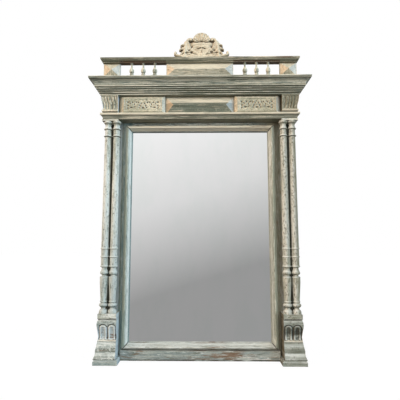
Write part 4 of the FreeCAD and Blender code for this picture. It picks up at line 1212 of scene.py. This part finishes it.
def console_cut(low_z, hood_shade):
    """Two arched hoods side by side in a hollow of their own outline, each with two legs that end
    in round tips. Where they carry painted shade, their upper half is painted darker instead of pale."""
    def carve(across, z, wide):
        u = across / MM
        v = (z - low_z) / MM
        around = np.minimum.reduce([hood_gap(u, v, middle) for middle in HOOD_MIDDLES])
        field = 1 - soft_step(around, HOOD_RIM - HOOD_BLUR, HOOD_RIM)
        field = field * soft_step(v, HOOD_LEG_Z - 2 * HOOD_TIP_RADIUS, HOOD_LEG_Z)
        field = field * soft_step(u, 0, HOOD_BLUR) * soft_step(wide / MM - u, 0, HOOD_BLUR)
        relief = Relief(u, v)
        for middle in HOOD_MIDDLES:
            floor = [(middle, HOOD_LEG_Z), (middle, HOOD_SPRING_Z)]
            relief.stroke(floor, (HOOD_FLOOR_WIDTH, HOOD_FLOOR_WIDTH), (HOOD_FLOOR, HOOD_FLOOR))
            for reach in (HOOD_REACH, -HOOD_REACH):
                turns = [math.radians(degrees) for degrees in (0, 30, 60, 90)]
                arch = [(middle + reach * math.cos(turn), HOOD_SPRING_Z + HOOD_REACH * math.sin(turn))
                        for turn in turns]
                leg = [(middle + reach, HOOD_LEG_Z), (middle + reach, HOOD_SPRING_Z)]
                relief.stroke(leg, (HOOD_LEG_WIDTH, HOOD_WIDTH), (HOOD_CUT, HOOD_CUT))
                relief.stroke(arch, (HOOD_WIDTH, HOOD_WIDTH), (HOOD_TOP, HOOD_TOP))
                relief.boss(*leg[0], HOOD_TIP_RADIUS, HOOD_TOP)
        depth = field * np.clip(HOOD_CUT - relief.height, -HOOD_RISE, HOOD_CUT)
        dark = hood_shade * soft_step(v, *HOOD_SHADE_SPAN)
        tone = carved_tone(HOOD_TONE, HOOD_HOLLOW_TONE, depth / HOOD_CUT)
        return depth * MM, field * (tone - dark)
    return carve


def carve_consoles():
    for side, sign in (("right", 1), ("left", -1)):
        node = side + "_console"
        inner, _, low, high = box_across(node)
        outer = box_across(side + "_plinth")[1]
        profile = shifted(traced(CONSOLE_SHARES, -CONSOLE_WAIST, high - low), 0, low)
        swept_bracket(side + "_hooded_console", node, profile, inner, outer, CASE_FACE, FOOT_FRONT,
                      sign, console_cut(low, HOOD_SHADE_SHARES[side]))


# What the mirror shows: brightness at the heights of a direction, tilted a little sideways.
ROOM_TILT = -0.31
ROOM_RANGE = (-0.4, 0.8)
ROOM_STOPS = [(-0.13, 0.325), (0.003, 0.535), (0.13, 0.725), (0.26, 0.835), (0.38, 0.93), (0.6, 1.0)]
FILL_BELOW = (0.16, 0.16, 0.14, 1)
FILL_ABOVE = (0.42, 0.43, 0.44, 1)


def make_world():
    """White where the camera sees it, a soft grey room in the mirror, and plain fill light."""
    world = bpy.data.worlds.new("studio")
    bpy.context.scene.world = world
    shader = Shader(world)
    across, _, up = shader.split(shader.add("ShaderNodeTexCoord").outputs["Generated"])
    height = shader.plus(up, shader.times(across, ROOM_TILT))
    room = shader.add("ShaderNodeValToRGB", {0: shader.ramp(height, *ROOM_RANGE, kind="LINEAR")})
    elements = room.color_ramp.elements
    while len(elements) < len(ROOM_STOPS):
        elements.new(0.5)
    for element, (place, value) in zip(elements, ROOM_STOPS):
        element.position = (place - ROOM_RANGE[0]) / (ROOM_RANGE[1] - ROOM_RANGE[0])
        element.color = (value, value, value, 1.0)
    fill = shader.mix(shader.ramp(up, -0.4, 0.6), FILL_BELOW, FILL_ABOVE)
    rays = shader.add("ShaderNodeLightPath")
    color = shader.mix(rays.outputs["Is Glossy Ray"], fill, room.outputs[0])
    color = shader.mix(rays.outputs["Is Camera Ray"], color, WHITE)
    shader.output("ShaderNodeOutputWorld", shader.add("ShaderNodeBackground", {"Color": color}))


FLOOR_REACH = 9.0
FLOOR_GLOW = 0.93
FLOOR_GLOW_STRENGTH = 1.035
FLOOR_TONE = (0.2, 0.2, 0.2, 1)
FLOOR_SEEN = (0.95, 0.95, 0.95, 1)


def make_floor():
    """A pale floor that is white to the camera and keeps the object's shadow."""
    corners = [(x * FLOOR_REACH, y * FLOOR_REACH, 0) for x, y in ((-1, -1), (1, -1), (1, 1), (-1, 1))]
    mesh = bpy.data.meshes.new("floor")
    mesh.from_pydata(corners, [], [(0, 1, 2, 3)])
    floor = new_thing("floor", mesh)
    shader = new_paint("floor_paint")
    seen = shader.add("ShaderNodeLightPath").outputs["Is Camera Ray"]
    matte = shader.add("ShaderNodeBsdfDiffuse", {"Color": shader.mix(seen, FLOOR_TONE, FLOOR_SEEN)})
    glow = shader.add("ShaderNodeEmission", {"Color": WHITE, "Strength": FLOOR_GLOW_STRENGTH})
    inputs = {0: shader.times(seen, FLOOR_GLOW), 1: matte.outputs[0], 2: glow.outputs[0]}
    both = shader.add("ShaderNodeMixShader", inputs)
    mesh.materials.append(shader.output("ShaderNodeOutputMaterial", both))
    floor.visible_glossy = False


def make_lamps():
    """Soft light from far away. At strength 1 a lamp lights white as white."""
    for name, way, strength, color, spread in LAMPS:
        data = bpy.data.lights.new(name, "SUN")
        data.energy = strength * math.pi
        data.color = color
        data.angle = math.radians(spread)
        lamp = new_thing(name, data)
        lamp.rotation_euler = Vector(way).to_track_quat("Z", "Y").to_euler()
        lamp.visible_glossy = False


def make_camera():
    data = bpy.data.cameras.new("camera")
    data.lens = CAMERA_LENS
    data.sensor_width = CAMERA_SENSOR
    data.sensor_fit = "HORIZONTAL"
    data.shift_x, data.shift_y = CAMERA_SHIFT
    camera = new_thing("camera", data)
    camera.location = CAMERA_PLACE
    camera.rotation_euler = (math.radians(90 + CAMERA_PITCH), 0, math.radians(CAMERA_YAW))
    bpy.context.scene.camera = camera


bpy.context.scene.view_settings.view_transform = "Standard"
make_camera()
make_world()
make_floor()
make_lamps()
dress_nodes()
carve_crest()
carve_panels()
carve_corbels()
carve_consoles()
